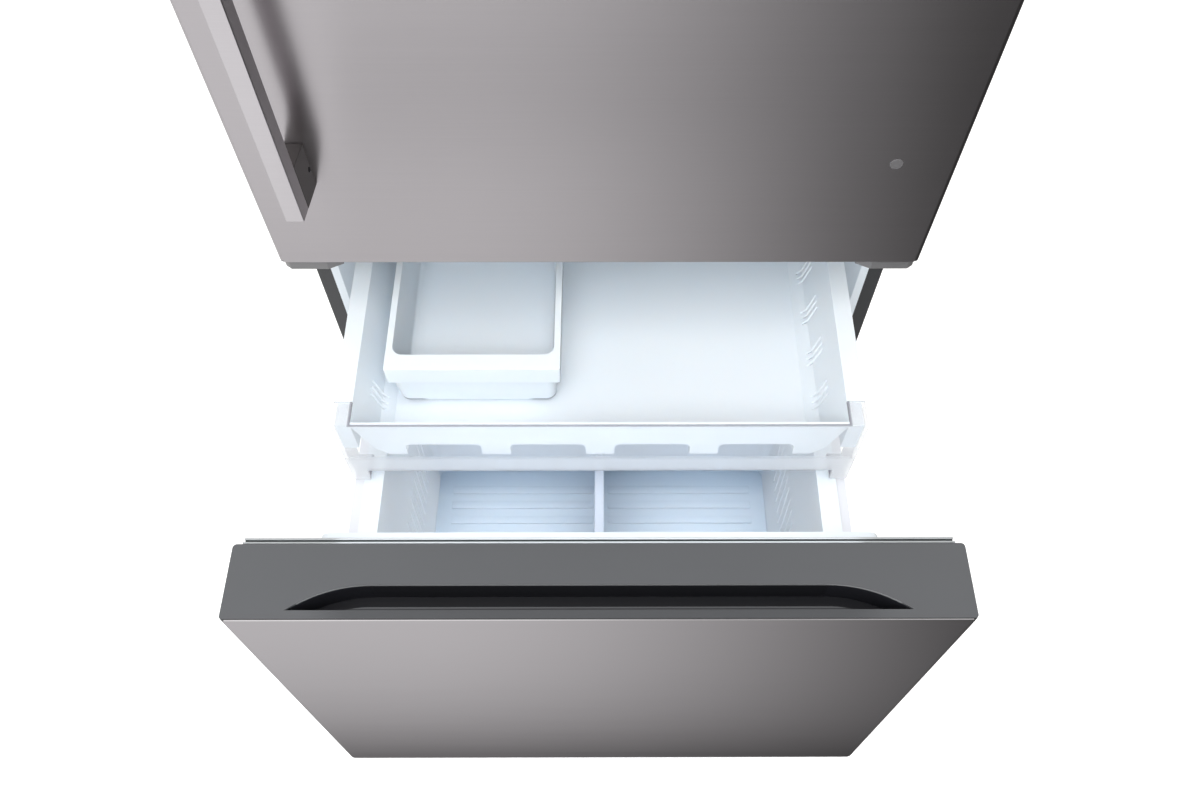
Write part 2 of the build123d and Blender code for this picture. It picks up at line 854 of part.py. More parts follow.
def basket_divider():
    """Upright divider in the middle of the basket, with a broad top."""
    slope = basket_half - basket_floor_half
    inset = 2 * bin_wall + running_gap
    front = basket_front + inset
    back = basket_front + basket_length - inset
    floor = basket_bottom + bin_wall + running_gap
    outline = [
        (front + slope, floor),
        (back - slope, floor),
        (back, basket_rim - bin_wall),
        (back, basket_rim),
        (front, basket_rim),
        (front, basket_rim - bin_wall),
    ]
    wall = across(outline, divider_x - divider_wall / 2, divider_x + divider_wall / 2)
    top_edge = block(
        divider_x - divider_cap / 2, divider_x + divider_cap / 2,
        front, back, basket_rim - bin_wall, basket_rim
    )
    return drawer_shift * (wall + top_edge)


# ---------------------------------------------------------------- tray and ice bin
def tray_outline(wall):
    """Cross-section of the tray in X and Z, or its outside when a wall is given."""
    drop = wall
    right = [
        (tray_mouth_half + wall, tray_rim),
        (tray_knee_half + wall, tray_knee - drop / 2),
        (tray_floor_half + wall / 2, tray_floor - drop),
    ]
    left = [(-x, z) for x, z in reversed(right)]
    return right + left


def tray_slots():
    """Groups of slanted slots low on the right side wall; the left one has only the first group."""
    slots = []
    for group in range(slot_groups):
        for index in range(slots_per_group):
            y = slot_first + group * slot_group_pitch + (index - 1) * slot_pitch
            place = Pos(tray_knee_half + bin_wall, y, slot_middle) * Rot(-slot_lean, 0, 0)
            slots.append(place * Box(8 * bin_wall, slot_width, slot_height))
    return slots


def tray_notch(centre):
    """One finger notch at the foot of the tray's front wall, with a rounded top."""
    front = tray_front + trim_wall
    back = tray_front + trim_wall + bin_wall + notch_reach
    notch = block(centre - notch_half, centre + notch_half, front, back, notch_low - 2 * bin_wall, notch_high)
    top_edges = notch.edges().filter_by(Axis.Y).group_by(Axis.Z)[-1]
    return fillet(top_edges, (notch_high - notch_low) / 2)


def upper_tray():
    """White sliding tray with sloped sides and broad rims."""
    front = tray_front + trim_wall + running_gap
    trim_back = tray_front + trim_side_depth
    tray = along(tray_outline(bin_wall), front, tray_back)
    rim = block(
        tray_mouth_half, tray_half, trim_back + running_gap, tray_back, tray_rim - tray_rim_thickness,
        tray_rim
    )
    nose_outer = tray_half - trim_wall - running_gap
    nose_top = trim_high - trim_wall - running_gap
    nose = block(tray_mouth_half, nose_outer, front, trim_back + bin_wall, tray_knee, nose_top)
    for side in pair(rim) + pair(nose):
        tray += side
    back_rim = block(
        -tray_half, tray_half, tray_back - trim_wall, tray_back, tray_rim - tray_rim_thickness, tray_rim
    )
    tray += back_rim
    tray -= along(tray_outline(0), front + bin_wall, tray_back - bin_wall)
    slots = tray_slots()
    for slot in slots:
        tray -= slot
    for slot in slots[:slots_per_group]:
        tray -= mirrored(slot)
    for centre in notch_centres:
        tray -= tray_notch(centre)
    seat = block(
        tray_mouth_half - running_gap, tray_half, tray_front, trim_back + running_gap, nose_top,
        trim_high
    )
    for side in pair(seat):
        tray -= side
    return tray


def tray_trim():
    """Clear front trim that wraps round both front corners of the tray."""
    back = tray_front + trim_side_depth
    plate = block(-tray_half, tray_half, tray_front, tray_front + trim_wall, trim_low, trim_high)
    side = block(tray_half - trim_wall, tray_half, tray_front, back, trim_low, trim_high)
    roof = block(tray_mouth_half, tray_half, tray_front, back, trim_high - trim_wall, trim_high)
    floor = block(tray_mouth_half, tray_half, tray_front, back, trim_low, trim_low + trim_wall)
    trim = plate - block(-tray_mouth_half, tray_mouth_half, tray_front, back, trim_low, trim_low + trim_step)
    for piece in pair(side) + pair(roof) + pair(floor):
        trim += piece
    return trim


def ice_bin():
    """White bin that stands in the left of the tray."""
    back = bin_front + bin_length
    foot = tray_floor + running_gap
    taper = bin_taper
    band = bin_rim - bin_band
    body = cup(
        bin_left + bin_wall, bin_right - bin_wall, bin_front + bin_wall,
        back - bin_wall, foot, band, taper, bin_corner
    )
    body = fillet(body.edges().group_by(Axis.Z)[0], bin_foot)
    collar = block(bin_left, bin_right, bin_front, back, band, bin_rim)
    collar = fillet(collar.edges().filter_by(Axis.Z), bin_wall)
    inner = cup(
        bin_left + bin_rim_side,
        bin_right - bin_rim_side,
        bin_front + bin_rim_front,
        back - bin_rim_side,
        foot + bin_wall,
        bin_rim,
        taper,
        bin_corner,
    )
    inner = fillet(inner.edges().group_by(Axis.Z)[0], bin_foot - bin_wall)
    return body + collar - inner


# ---------------------------------------------------------------- cabinet
def fresh_space(wall):
    """The fresh food compartment, or its outside when a wall is given."""
    front = (
        opening_half + wall, fresh_mouth_low - wall, fresh_mouth_high + wall, case_front, liner_corner + wall
    )
    mouth = case_front + lead_in
    back = (fresh_half + wall, fresh_floor - wall, fresh_ceiling + wall, mouth, liner_corner + wall)
    space = funnel(front, back)
    deep = round_frame(*back)
    return space + extrude(deep, -(fresh_back + wall - mouth))


def freezer_space(wall):
    """The freezer compartment with its step over the compressor."""
    corner = liner_corner + wall
    front = (opening_half + wall, freezer_mouth_low - wall, freezer_mouth_high + wall, case_front, corner)
    mouth = case_front + lead_in
    back = (freezer_half + wall, freezer_floor - wall, freezer_ceiling + wall, mouth, corner)
    space = funnel(front, back) + extrude(round_frame(*back), -(freezer_back + wall - mouth))
    reach = freezer_half + 2 * liner_wall
    rear = freezer_back + 2 * liner_wall
    step = block(-reach, reach, step_front + wall, rear, freezer_floor - 2 * liner_wall, step_top - wall)
    return space - step


def mouth_flange(z0, z1):
    """Flat white flange round a compartment's mouth."""
    flange_half = half - case_flange
    return block(-flange_half, flange_half, case_front, case_front + liner_wall, z0, z1)


def fresh_food_liner():
    """Moulded liner of the fresh food compartment, with ribs that carry the shelves."""
    flange = mouth_flange(rail_top, case_top - case_flange)
    liner = fresh_space(liner_wall) + flange - fresh_space(0)
    for level in shelf_levels:
        for rib in shelf_ribs(level):
            liner += rib
    for rib in shelf_ribs(crisper_cover_level):
        liner += rib
    return liner


def shelf_ribs(level):
    """Ribs under a shelf, one on each side wall."""
    rib = block(
        fresh_half - shelf_rib, fresh_half + liner_wall / 2, shelf_front, fresh_back - shelf_rib,
        level - shelf_rib, level
    )
    return pair(rib)


def freezer_liner():
    """Moulded liner of the freezer."""
    flange = mouth_flange(case_bottom + case_flange, rail_bottom)
    liner = freezer_space(liner_wall) + flange - freezer_space(0)
    for guide in tray_guides():
        liner += guide
    return liner


def tray_guides():
    """Ledges moulded on the freezer's walls, on which the tray slides."""
    top = tray_rim - tray_rim_thickness - running_gap
    ledge = block(
        freezer_half - guide_reach, freezer_half + liner_wall / 2,
        guide_front, guide_back, top - guide_height, top
    )
    return pair(ledge)


def outer_shell():
    """Painted steel wrapper: two sides, the top and a flange round the front."""
    outer = block(-half, half, case_front, case_back, case_bottom, case_top)
    inner = block(-half + sheet, half - sheet, case_front + sheet, case_back, case_bottom, case_top - sheet)
    flange_half = half - case_flange
    window = block(
        -flange_half, flange_half, case_front, case_front + sheet, case_bottom + case_flange,
        case_top - case_flange
    )
    return outer - inner - window


def mullion_rail():
    """Painted front rail between the compartments, with the hole of the door switch."""
    flange_half = half - case_flange
    rail = block(-flange_half, flange_half, case_front, case_front + sheet, rail_bottom, rail_top)
    return rail - rod(switch_radius + running_gap, (switch_x, case_front, switch_z), (0, 1, 0), sheet)


def base_pan():
    """Steel floor of the cabinet with the nuts of the levelling legs."""
    side = half - sheet
    pan = block(-side, side, case_front + sheet, case_back, case_bottom, base_top)
    for x in (-leg_x, leg_x):
        pan += rod(2 * leg_radius, (x, leg_y, case_bottom - 2 * leg_radius), (0, 0, 1), 2 * leg_radius)
        pan -= rod(
            leg_radius + running_gap, (x, leg_y, case_bottom - 2 * leg_radius), (0, 0, 1),
            4 * leg_radius
        )
    return pan


def back_panel():
    """Rear sheet, folded forward over the machine space and down to the base."""
    rear = back_panel_back
    outline = [
        (rear, case_top - sheet),
        (rear, machine_top),
        (machine_front, machine_top),
        (machine_front, base_top),
        (machine_front - sheet, base_top),
        (machine_front - sheet, machine_top + sheet),
        (rear - sheet, machine_top + sheet),
        (rear - sheet, case_top - sheet),
    ]
    return across(outline, -half + sheet, half - sheet)


def insulation_foam():
    """Foam between the shell and the two liners."""
    side = half - sheet
    front = case_front + sheet
    rear = back_panel_back - sheet
    foam = block(-side, side, front, rear, base_top, case_top - sheet)
    foam -= block(-side, side, machine_front - sheet, rear, base_top, machine_top + sheet)
    foam -= fresh_space(liner_wall)
    foam -= freezer_space(liner_wall)
    foam -= mouth_flange(rail_top, case_top - case_flange)
    foam -= mouth_flange(case_bottom + case_flange, rail_bottom)
    for x in (-leg_x, leg_x):
        foam -= rod(2 * leg_radius, (x, leg_y, base_top), (0, 0, 1), leg_top - base_top + leg_radius)
    bore = switch_radius + running_gap
    return foam - rod(bore, (switch_x, front, switch_z), (0, 1, 0), switch_length)


def toe_grille():
    """Slotted grille under the drawer."""
    front = case_front - bin_wall
    grille = block(-grille_half, grille_half, front, case_front, grille_low, case_bottom)
    grille += block(
        -grille_half, grille_half, front, case_front + grille_low, case_bottom - bin_wall, case_bottom
    )
    pitch = 2 * grille_half / grille_slots
    slot_half = pitch * grille_open
    low_row = grille_low + 2 * bin_wall
    for index in range(grille_slots):
        x = -grille_half + pitch * (index + 0.5)
        for level in (low_row, low_row + 3 * bin_wall):
            grille -= block(x - slot_half, x + slot_half, front, case_front, level, level + bin_wall)
    return grille


def compressor_cover():
    """Rear cover of the machine space with vent slots."""
    side = half - sheet - running_gap
    low = base_top + running_gap
    cover = block(-side, side, case_back - sheet, case_back, low, machine_top - running_gap)
    high = machine_top - running_gap
    cover += block(-side, side, back_panel_back + running_gap, case_back, high - sheet, high)
    pitch = 2 * side / vent_slots
    slot_half = pitch * vent_open
    for index in range(vent_slots):
        x = -side + pitch * (index + 0.5)
        for row in range(vent_rows):
            z = base_top + cover_vent_first + row * cover_vent_pitch
            cover -= block(
                x - slot_half, x + slot_half, case_back - sheet, case_back, z, z + cover_vent_height
            )
    return cover


def compressor():
    """Sealed compressor on its foot plate, with its terminal box."""
    foot_low = base_top + grommet_height
    low = foot_low + foot_plate
    radius = compressor_radius
    shoulder = radius * compressor_shoulder
    high = low + compressor_height
    sketch = make_face(
        [
            Line((0, low), (radius - shoulder, low)),
            TangentArc([(radius - shoulder, low), (radius, low + shoulder)], tangent=(1, 0)),
            Line((radius, low + shoulder), (radius, high - radius / 2)),
            ThreePointArc(
                (radius, high - radius / 2), (radius * dome_across, high - radius * dome_down),
                (0, high)
            ),
            Line((0, high), (0, low)),
        ]
    )
    can = revolve(Plane.XZ * sketch, Axis.Z)
    seam_z = low + compressor_height / 2
    can += Pos(0, 0, seam_z) * Cylinder(radius + foot_plate, foot_plate)
    plate_x = compressor_foot_x + grommet_radius
    plate_y = compressor_foot_y + grommet_radius
    can += block(-plate_x, plate_x, -plate_y, plate_y, foot_low, low)
    box_reach = radius + 4 * foot_plate
    can += block(0, box_reach, -radius / 3, radius / 3, seam_z + 2 * foot_plate, high - radius / 2)
    return Pos(compressor_x, compressor_y, 0) * can


def compressor_mounts():
    """Four rubber mounts under the compressor."""
    mounts = []
    for side_x in (-1, 1):
        for side_y in (-1, 1):
            x = compressor_x + side_x * compressor_foot_x
            y = compressor_y + side_y * compressor_foot_y
            mount = rod(grommet_radius, (x, y, base_top), (0, 0, 1), grommet_height)
            ring = grommet_radius / 5
            groove = rod(grommet_radius, (x, y, base_top + grommet_height / 3), (0, 0, 1), ring)
            groove -= rod(grommet_radius - ring, (x, y, base_top + grommet_height / 3), (0, 0, 1), ring)
            mounts.append(mount - groove)
    return mounts


def condenser_coil():
    """Serpentine condenser tube between two end plates."""
    inset = 3 * condenser_pitch / 4
    x0 = condenser_left + inset
    x1 = condenser_right - inset
    points = []
    for row in range(condenser_rows):
        z = condenser_low + row * condenser_pitch
        ends = (x0 - inset, x1 + inset) if row % 2 == 0 else (x1 + inset, x0 - inset)
        points.extend([(ends[0], condenser_y, z), (ends[1], condenser_y, z)])
    path = FilletPolyline(*points, radius=condenser_pitch * condenser_bend)
    start = Plane(origin=path @ 0, z_dir=path % 0)
    tube = sweep(start * Circle(condenser_tube), path=path)
    high = condenser_low + condenser_rows * condenser_pitch
    plates = []
    for x in (x0, x1 - sheet):
        plate = block(x, x + sheet, condenser_y - inset, condenser_y + inset, base_top, high)
        for row in range(condenser_rows):
            z = condenser_low + row * condenser_pitch
            plate -= rod(condenser_tube + running_gap, (x - sheet, condenser_y, z), (1, 0, 0), 3 * sheet)
        plates.append(plate)
    return [tube] + plates


def fan_wheel(radius):
    """A hub with tilted blades, turning about Z, with its back at zero."""
    fan = Cylinder(fan_hub, fan_thickness, align=(Align.CENTER, Align.CENTER, Align.MIN))
    reach = radius - fan_hub / 2
    for index in range(fan_blades):
        turn = Rot(0, 0, index * 360 / fan_blades)
        place = Pos(fan_hub / 2 + reach / 2, 0, fan_thickness / 2) * Rot(fan_pitch, 0, 0)
        fan += turn * place * Box(reach, radius / 2, 2 * sheet)
    trim = Cylinder(radius, 3 * radius) - Cylinder(fan_shaft + running_gap, 3 * radius)
    return fan & trim


def condenser_fan_z():
    """Height of the condenser fan's axis."""
    return base_top + shroud_half + condenser_tube


def condenser_fan():
    """Fan that draws air through the condenser."""
    place = Plane(
        origin=(shroud_x + 3 * sheet + fan_thickness / 2, condenser_y, condenser_fan_z()),
        z_dir=(1, 0, 0)
    )
    return place * fan_wheel(condenser_fan_radius)


def condenser_fan_motor():
    """Shroud plate with the motor on four arms."""
    z = condenser_fan_z()
    y = condenser_y
    hole = condenser_fan_radius + condenser_fan_gap
    shroud = block(
        shroud_x, shroud_x + 2 * sheet, y - shroud_half, y + shroud_half, base_top, z + shroud_half
    )
    shroud -= rod(hole, (shroud_x - sheet, y, z), (1, 0, 0), 4 * sheet)
    arm = 3 * sheet
    shroud += block(shroud_x, shroud_x + 2 * sheet, y - hole - sheet, y + hole + sheet, z - arm, z + arm)
    shroud += block(shroud_x, shroud_x + 2 * sheet, y - arm, y + arm, z - hole - sheet, z + hole + sheet)
    shroud += rod(motor_radius, (shroud_x - motor_length, y, z), (1, 0, 0), motor_length + 2 * sheet)
    return shroud + rod(fan_shaft, (shroud_x, y, z), (1, 0, 0), 3 * sheet + 2 * fan_thickness)


def evaporator():
    """Finned evaporator behind the freezer's rear cover."""
    front = evaporator_cover_y + 4 * evaporator_cover_sheet
    rear = freezer_back - running_gap
    pitch = 2 * (evaporator_half - evaporator_tube) / (fin_count - 1)
    block_solid = block(
        -evaporator_half, evaporator_half, rear - sheet, rear, evaporator_low, evaporator_high
    )
    for index in range(fin_count):
        x = -evaporator_half + evaporator_tube + index * pitch
        block_solid += block(
            x - fin_sheet / 2, x + fin_sheet / 2, front, rear, evaporator_low, evaporator_high
        )
    row_pitch = (evaporator_high - evaporator_low) / evaporator_rows
    for row in range(evaporator_rows):
        z = evaporator_low + row_pitch * (row + 0.5)
        block_solid += rod(
            evaporator_tube, (-evaporator_half, (front + rear) / 2, z), (1, 0, 0), 2 * evaporator_half
        )
    return block_solid


def evaporator_cover():
    """White cover over the evaporator, with vents and the fan's motor."""
    y0 = evaporator_cover_y
    y1 = y0 + evaporator_cover_sheet
    side = freezer_half - running_gap
    cover = block(-side, side, y0, y1, step_top + running_gap, freezer_ceiling - running_gap)
    corner_edges = cover.edges().filter_by(Axis.Y).group_by(Axis.Z)[-1]
    cover = fillet(corner_edges, liner_corner)
    for row in range(air_slot_rows):
        z = evaporator_fan_z + (row - air_slot_rows / 2) * air_slot_pitch
        for x in (-air_slot_x, air_slot_x):
            cover -= block(x - air_slot_half, x + air_slot_half, y0, y1, z, z + air_slot_height)
    hub = rod(fan_hub, (0, y1, evaporator_fan_z), (0, 1, 0), 2 * fan_thickness / 3)
    return cover + hub + rod(
        fan_shaft, (0, y1, evaporator_fan_z), (0, 1, 0), 2 * fan_thickness + fan_thickness / 2
    )


def evaporator_fan():
    """Fan that blows cold air into both compartments."""
    start = evaporator_cover_y + evaporator_cover_sheet + 2 * fan_thickness / 3 + running_gap
    place = Plane(origin=(0, start, evaporator_fan_z), z_dir=(0, 1, 0))
    return place * fan_wheel(evaporator_fan_radius)


# ---------------------------------------------------------------- fresh food fittings
def shelf_frames():
    """Plastic frames of the two glass shelves."""
    frames = []
    side = fresh_half - running_gap
    back = fresh_back - shelf_rib
    for level in shelf_levels:
        low = level + running_gap
        outer = block(-side, side, shelf_front, back, low, low + shelf_frame_height)
        outer -= block(
            -side + shelf_frame_width,
            side - shelf_frame_width,
            shelf_front + shelf_frame_width,
            back - shelf_frame_width,
            low,
            low + shelf_frame_height,
        )
        frames.append(outer - shelf_pane(low, running_gap))
    return frames


def shelf_pane(low, gap):
    """The glass of a shelf, or its groove in the frame when a gap is given."""
    grip = shelf_frame_width / 2
    side = fresh_half - running_gap - grip + gap
    z = low + shelf_frame_height - 2 * shelf_glass_thickness
    return block(
        -side, side, shelf_front + grip - gap, fresh_back - shelf_rib - grip + gap,
        z - gap, z + shelf_glass_thickness + gap
    )


def shelf_glass():
    """Glass panes of the two shelves."""
    return [shelf_pane(level + running_gap, 0) for level in shelf_levels]


def crisper_cover():
    """Glass shelf over the crispers."""
    low = crisper_cover_level + running_gap
    side = fresh_half - running_gap
    cover = block(-side, side, shelf_front, fresh_back - shelf_rib, low, low + crisper_cover_thickness)
    return fillet(cover.edges().filter_by(Axis.Z), bin_wall)


def crisper(side):
    """One crisper drawer; side is -1 on the left and 1 on the right."""
    near = crisper_gap / 2
    far = fresh_half - shelf_rib - crisper_side_gap
    x0, x1 = (near, far) if side > 0 else (-far, -near)
    low = fresh_floor + running_gap
    high = low + crisper_height
    back = crisper_front + crisper_length
    outer = block(x0, x1, crisper_front, back, low, high)
    outer = fillet(outer.edges().filter_by(Axis.Z), 3 * bin_wall)
    inner = block(
        x0 + bin_wall, x1 - bin_wall, crisper_front + bin_wall, back - bin_wall, low + bin_wall, high
    )
    inner = fillet(inner.edges().filter_by(Axis.Z), 2 * bin_wall)
    grip = block(
        x0 + 4 * crisper_grip, x1 - 4 * crisper_grip, crisper_front - crisper_grip,
        crisper_front + bin_wall, high - crisper_grip, high - 2 * bin_wall
    )
    return outer - inner + grip


def crisper_left():
    """The left crisper drawer."""
    return crisper(-1)


def crisper_right():
    """The right crisper drawer."""
    return crisper(1)


def lamp_panel():
    """Lamp housing on the ceiling of the fresh food compartment."""
    low = fresh_ceiling - lamp_height
    housing = block(-lamp_half, lamp_half, lamp_front, lamp_front + lamp_length, low, fresh_ceiling)
    housing = fillet(housing.edges().filter_by(Axis.Z), liner_corner)
    recess = 2 * bin_wall
    lens = block(
        -lamp_half + recess,
        lamp_half - recess,
        lamp_front + recess,
        lamp_front + lamp_length - recess,
        low,
        low + bin_wall / 2,
    )
    return housing - lens


def door_switch():
    """Push button that the upper door holds in."""
    front = panel_depth + running_gap
    end = case_front + sheet + switch_length - 2 * switch_travel
    plunger = rod(switch_radius, (switch_x, front, switch_z), (0, 1, 0), end - front)
    collar_back = case_front - switch_travel - running_gap
    reach = 2 * switch_radius
    collar = rod(reach, (switch_x, collar_back - sheet, switch_z), (0, 1, 0), sheet)
    room = block(
        switch_x - reach, switch_x + reach, front, case_front, switch_z - switch_collar,
        switch_z + switch_radius
    )
    return plunger + (collar & room)


# ---------------------------------------------------------------- hinges
def middle_hinge():
    """Steel bracket under the upper door, with its pin and shoulder."""
    high = cover_high - cover_wall - running_gap
    low = high - hinge_plate
    inner = cover_inner + 2 * cover_wall
    outer = half - 2 * cover_wall
    plate = block(inner, outer, cover_front + 4 * cover_wall, case_front, low, high)
    plate = fillet(plate.edges().filter_by(Axis.Z).sort_by(Axis.Y)[:2], hinge_plate)
    flange_low = cover_low + cover_wall + running_gap
    plate += block(inner, outer, case_front - hinge_plate, case_front, flange_low, high)
    plate += rod(hinge_shoulder, (hinge_x, hinge_y, high), (0, 0, 1), door_bottom - running_gap - high)
    return plate + rod(pin_radius, (hinge_x, hinge_y, high), (0, 0, 1), door_bottom + cap_height / 2 - high)


def hinge_cover_outline(inset):
    """Plan outline of the right hinge cover."""
    corner = half - cover_front
    return [
        (cover_inner + inset, cover_front + cover_bevel_y + inset),
        (cover_inner + cover_bevel_x, cover_front + inset),
        (corner, cover_front + inset),
        (half - inset, cover_front + cover_corner + inset),
        (half - inset, case_front - running_gap),
        (cover_inner + inset, case_front - running_gap),
    ]


def hinge_cover():
    """Plastic cover over one end of the front rail."""
    cover = upright(hinge_cover_outline(0), cover_low, cover_high)
    hollow_low = cover_low + cover_wall
    cover -= upright(hinge_cover_outline(cover_wall), hollow_low, cover_high - cover_wall)
    bore = hinge_shoulder + running_gap
    return cover - rod(bore, (hinge_x, hinge_y, hollow_low), (0, 0, 1), cover_high - hollow_low)


def middle_hinge_covers():
    """Hinge cover on the right and the matching blind cover on the left."""
    return pair(hinge_cover())


def top_hinge():
    """Steel bracket on the cabinet with its pin in the top of the upper door."""
    x0 = hinge_x - 4 * hinge_plate
    x1 = half - 2 * cover_wall
    arm_low = door_top + running_gap
    arm_high = arm_low + hinge_plate
    front = hinge_y - 3 * hinge_plate
    rear = case_front + top_cover_length / 2
    plate = block(x0, x1, front, rear, arm_low, arm_high)
    plate = fillet(plate.edges().filter_by(Axis.Z).sort_by(Axis.Y)[:2], hinge_plate)
    plate += block(x0, x1, case_front + hinge_plate, rear, case_top, arm_low)
    return plate + rod(pin_radius, (hinge_x, hinge_y, arm_low - cap_height / 2), (0, 0, 1), cap_height / 2)


def top_hinge_cover():
    """Plastic cover over the top hinge."""
    x0 = cover_inner
    front = cover_front + 2 * hinge_plate
    rear = case_front + top_cover_length
    high = case_top + top_cover_height
    cover = block(x0, half, front, rear, case_top, high)
    top_edges = cover.edges().group_by(Axis.Z)[-1]
    cover = fillet(top_edges, 2 * cover_wall)
    cover -= block(
        x0 + cover_wall, half - cover_wall, front + cover_wall, rear - cover_wall, case_top,
        high - cover_wall
    )
    clear = door_top + 2 * running_gap
    return cover - block(x0, half, front, case_front - running_gap, case_top, clear)


# ---------------------------------------------------------------- rollers and legs
def roller(x, y, z):
    """A wheel with a grooved hub on a bore."""
    wheel = rod(roller_radius, (x - roller_width / 2, y, z), (1, 0, 0), roller_width)
    wheel = fillet(wheel.edges(), sheet)
    return wheel - rod(axle_radius + running_gap, (x - roller_width, y, z), (1, 0, 0), 2 * roller_width)


def roller_bracket(x, y, z):
    """A folded bracket with its axle."""
    near = roller_width / 2 + running_gap
    far = near + bracket_sheet
    arm = 2 * bracket_sheet + 2 * axle_radius
    low = z - arm
    bracket = block(x - far, x + far, y - arm, y + arm, case_bottom - bracket_sheet, case_bottom)
    for x0 in (x - far, x + near):
        bracket += block(x0, x0 + bracket_sheet, y - arm, y + arm, low, case_bottom)
    return bracket + rod(axle_radius, (x - far, y, z), (1, 0, 0), 2 * far)


def front_roller_z():
    """Height of the front rollers' axis."""
    return roller_radius + front_roller_lift


def roller_brackets():
    """The four brackets under the base pan."""
    front = pair(roller_bracket(roller_x, front_roller_y, front_roller_z()))
    rear = pair(roller_bracket(roller_x, rear_roller_y, roller_radius))
    return front + rear


def front_rollers():
    """The two front rollers."""
    return pair(roller(roller_x, front_roller_y, front_roller_z()))


def rear_rollers():
    """The two rear rollers."""
    return pair(roller(roller_x, rear_roller_y, roller_radius))


def levelling_leg(x):
    """Threaded leg with a broad foot that is turned by hand."""
    leg = rod(leg_foot_radius, (x, leg_y, 0), (0, 0, 1), leg_foot_height)
    leg = chamfer(leg.edges().group_by(Axis.Z)[-1], leg_foot_height / 4)
    return leg + rod(leg_radius, (x, leg_y, leg_foot_height), (0, 0, 1), leg_top - leg_foot_height)


def levelling_leg_left():
    """The left levelling leg."""
    return levelling_leg(-leg_x)


def levelling_leg_right():
    """The right levelling leg."""
    return levelling_leg(leg_x)


# ---------------------------------------------------------------- output
PIECES = [
    outer_shell,
    back_panel,
    insulation_foam,
    fresh_food_liner,
    freezer_liner,
    mullion_rail,
    base_pan,
    toe_grille,
    compressor_cover,
    compressor,
    compressor_mounts,
    condenser_coil,
    condenser_fan_motor,
    condenser_fan,
    evaporator,
    evaporator_cover,
    evaporator_fan,
    roller_brackets,
    front_rollers,
    rear_rollers,
    levelling_leg_left,
    levelling_leg_right,
    top_hinge,
    top_hinge_cover,
    middle_hinge,
    middle_hinge_covers,
    shelf_frames,
    shelf_glass,
    crisper_cover,
    crisper_left,
    crisper_right,
    lamp_panel,
    door_switch,
    rail_outer,
    rail_middle,
    door_skin,
    door_top_cap,
    door_bottom_cap,
    door_liner,
    door_foam,
    door_gasket,
    door_bins,
    dairy_lid,
    handle_bar,
    handle_posts,
    hole_plugs,
    drawer_skin,
    drawer_top_cap,
    drawer_bottom_cap,
    drawer_foam,
    drawer_liner,
    drawer_gasket,
    rail_inner,
    basket,
    basket_divider,
    upper_tray,
    tray_trim,
    ice_bin,
]


def place(shape):
    """A piece in the frame whose origin is on the floor under the middle of the footprint."""
    solids = shape if isinstance(shape, list) else [shape]
    moved = [Pos(0, -origin_y, 0) * solid for solid in solids]
    return moved[0] if len(moved) == 1 else Compound(children=moved)


def main():
    """Write one STEP file for each sub-part."""
    os.makedirs("parts", exist_ok=True)
    for make in PIECES:
        export_step(place(make()), f"parts/{make.__name__}.step")


main()
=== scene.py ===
"""Dresses the bottom freezer refrigerator: finishes, small hardware, studio and camera.

Everything is in metres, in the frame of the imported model: X to the right, Y to the back, Z up, with
the origin on the floor under the middle of the refrigerator and its open drawer.
"""
import logging
import math
from dataclasses import dataclass, replace
from enum import Enum
from functools import cache
from typing import Sequence, Union

import bpy
from mathutils import Matrix, Vector


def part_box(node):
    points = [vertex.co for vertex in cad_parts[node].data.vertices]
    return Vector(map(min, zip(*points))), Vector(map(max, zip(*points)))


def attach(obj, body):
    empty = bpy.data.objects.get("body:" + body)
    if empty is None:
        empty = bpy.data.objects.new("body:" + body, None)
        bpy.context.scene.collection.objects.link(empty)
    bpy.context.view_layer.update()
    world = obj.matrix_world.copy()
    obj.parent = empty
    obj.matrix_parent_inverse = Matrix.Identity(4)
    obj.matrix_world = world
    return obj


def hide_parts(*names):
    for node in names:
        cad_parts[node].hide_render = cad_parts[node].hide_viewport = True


Point = tuple[float, float, float]
Colour = tuple[float, float, float]
Span = tuple[float, float]
Piece = bpy.types.Object
Node = bpy.types.Node
Socket = bpy.types.NodeSocket
Value = Union[Socket, float, Point]
Inputs = dict[Union[str, int], Value]

logging.basicConfig(level=logging.INFO, format="%(message)s")
log = logging.getLogger("refrigerator")

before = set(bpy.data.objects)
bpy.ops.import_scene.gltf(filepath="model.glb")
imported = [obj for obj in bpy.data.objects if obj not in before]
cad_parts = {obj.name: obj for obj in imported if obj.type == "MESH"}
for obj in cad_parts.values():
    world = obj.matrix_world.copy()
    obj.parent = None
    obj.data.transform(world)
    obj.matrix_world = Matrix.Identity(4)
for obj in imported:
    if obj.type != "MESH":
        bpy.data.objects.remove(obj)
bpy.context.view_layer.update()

WHITE: Colour = (1.0, 1.0, 1.0)
COOL: Colour = (0.92, 1.0, 1.07)
SMOOTH_ANGLE = math.radians(40)
SIDES = (-1.0, 1.0)  # left and right, as a sign of X


class Body(str, Enum):
    """The bodies that pieces ride on."""

    DOOR = "upper_door"
    DRAWER = "freezer_drawer"
    TRAY = "sliding_tray"


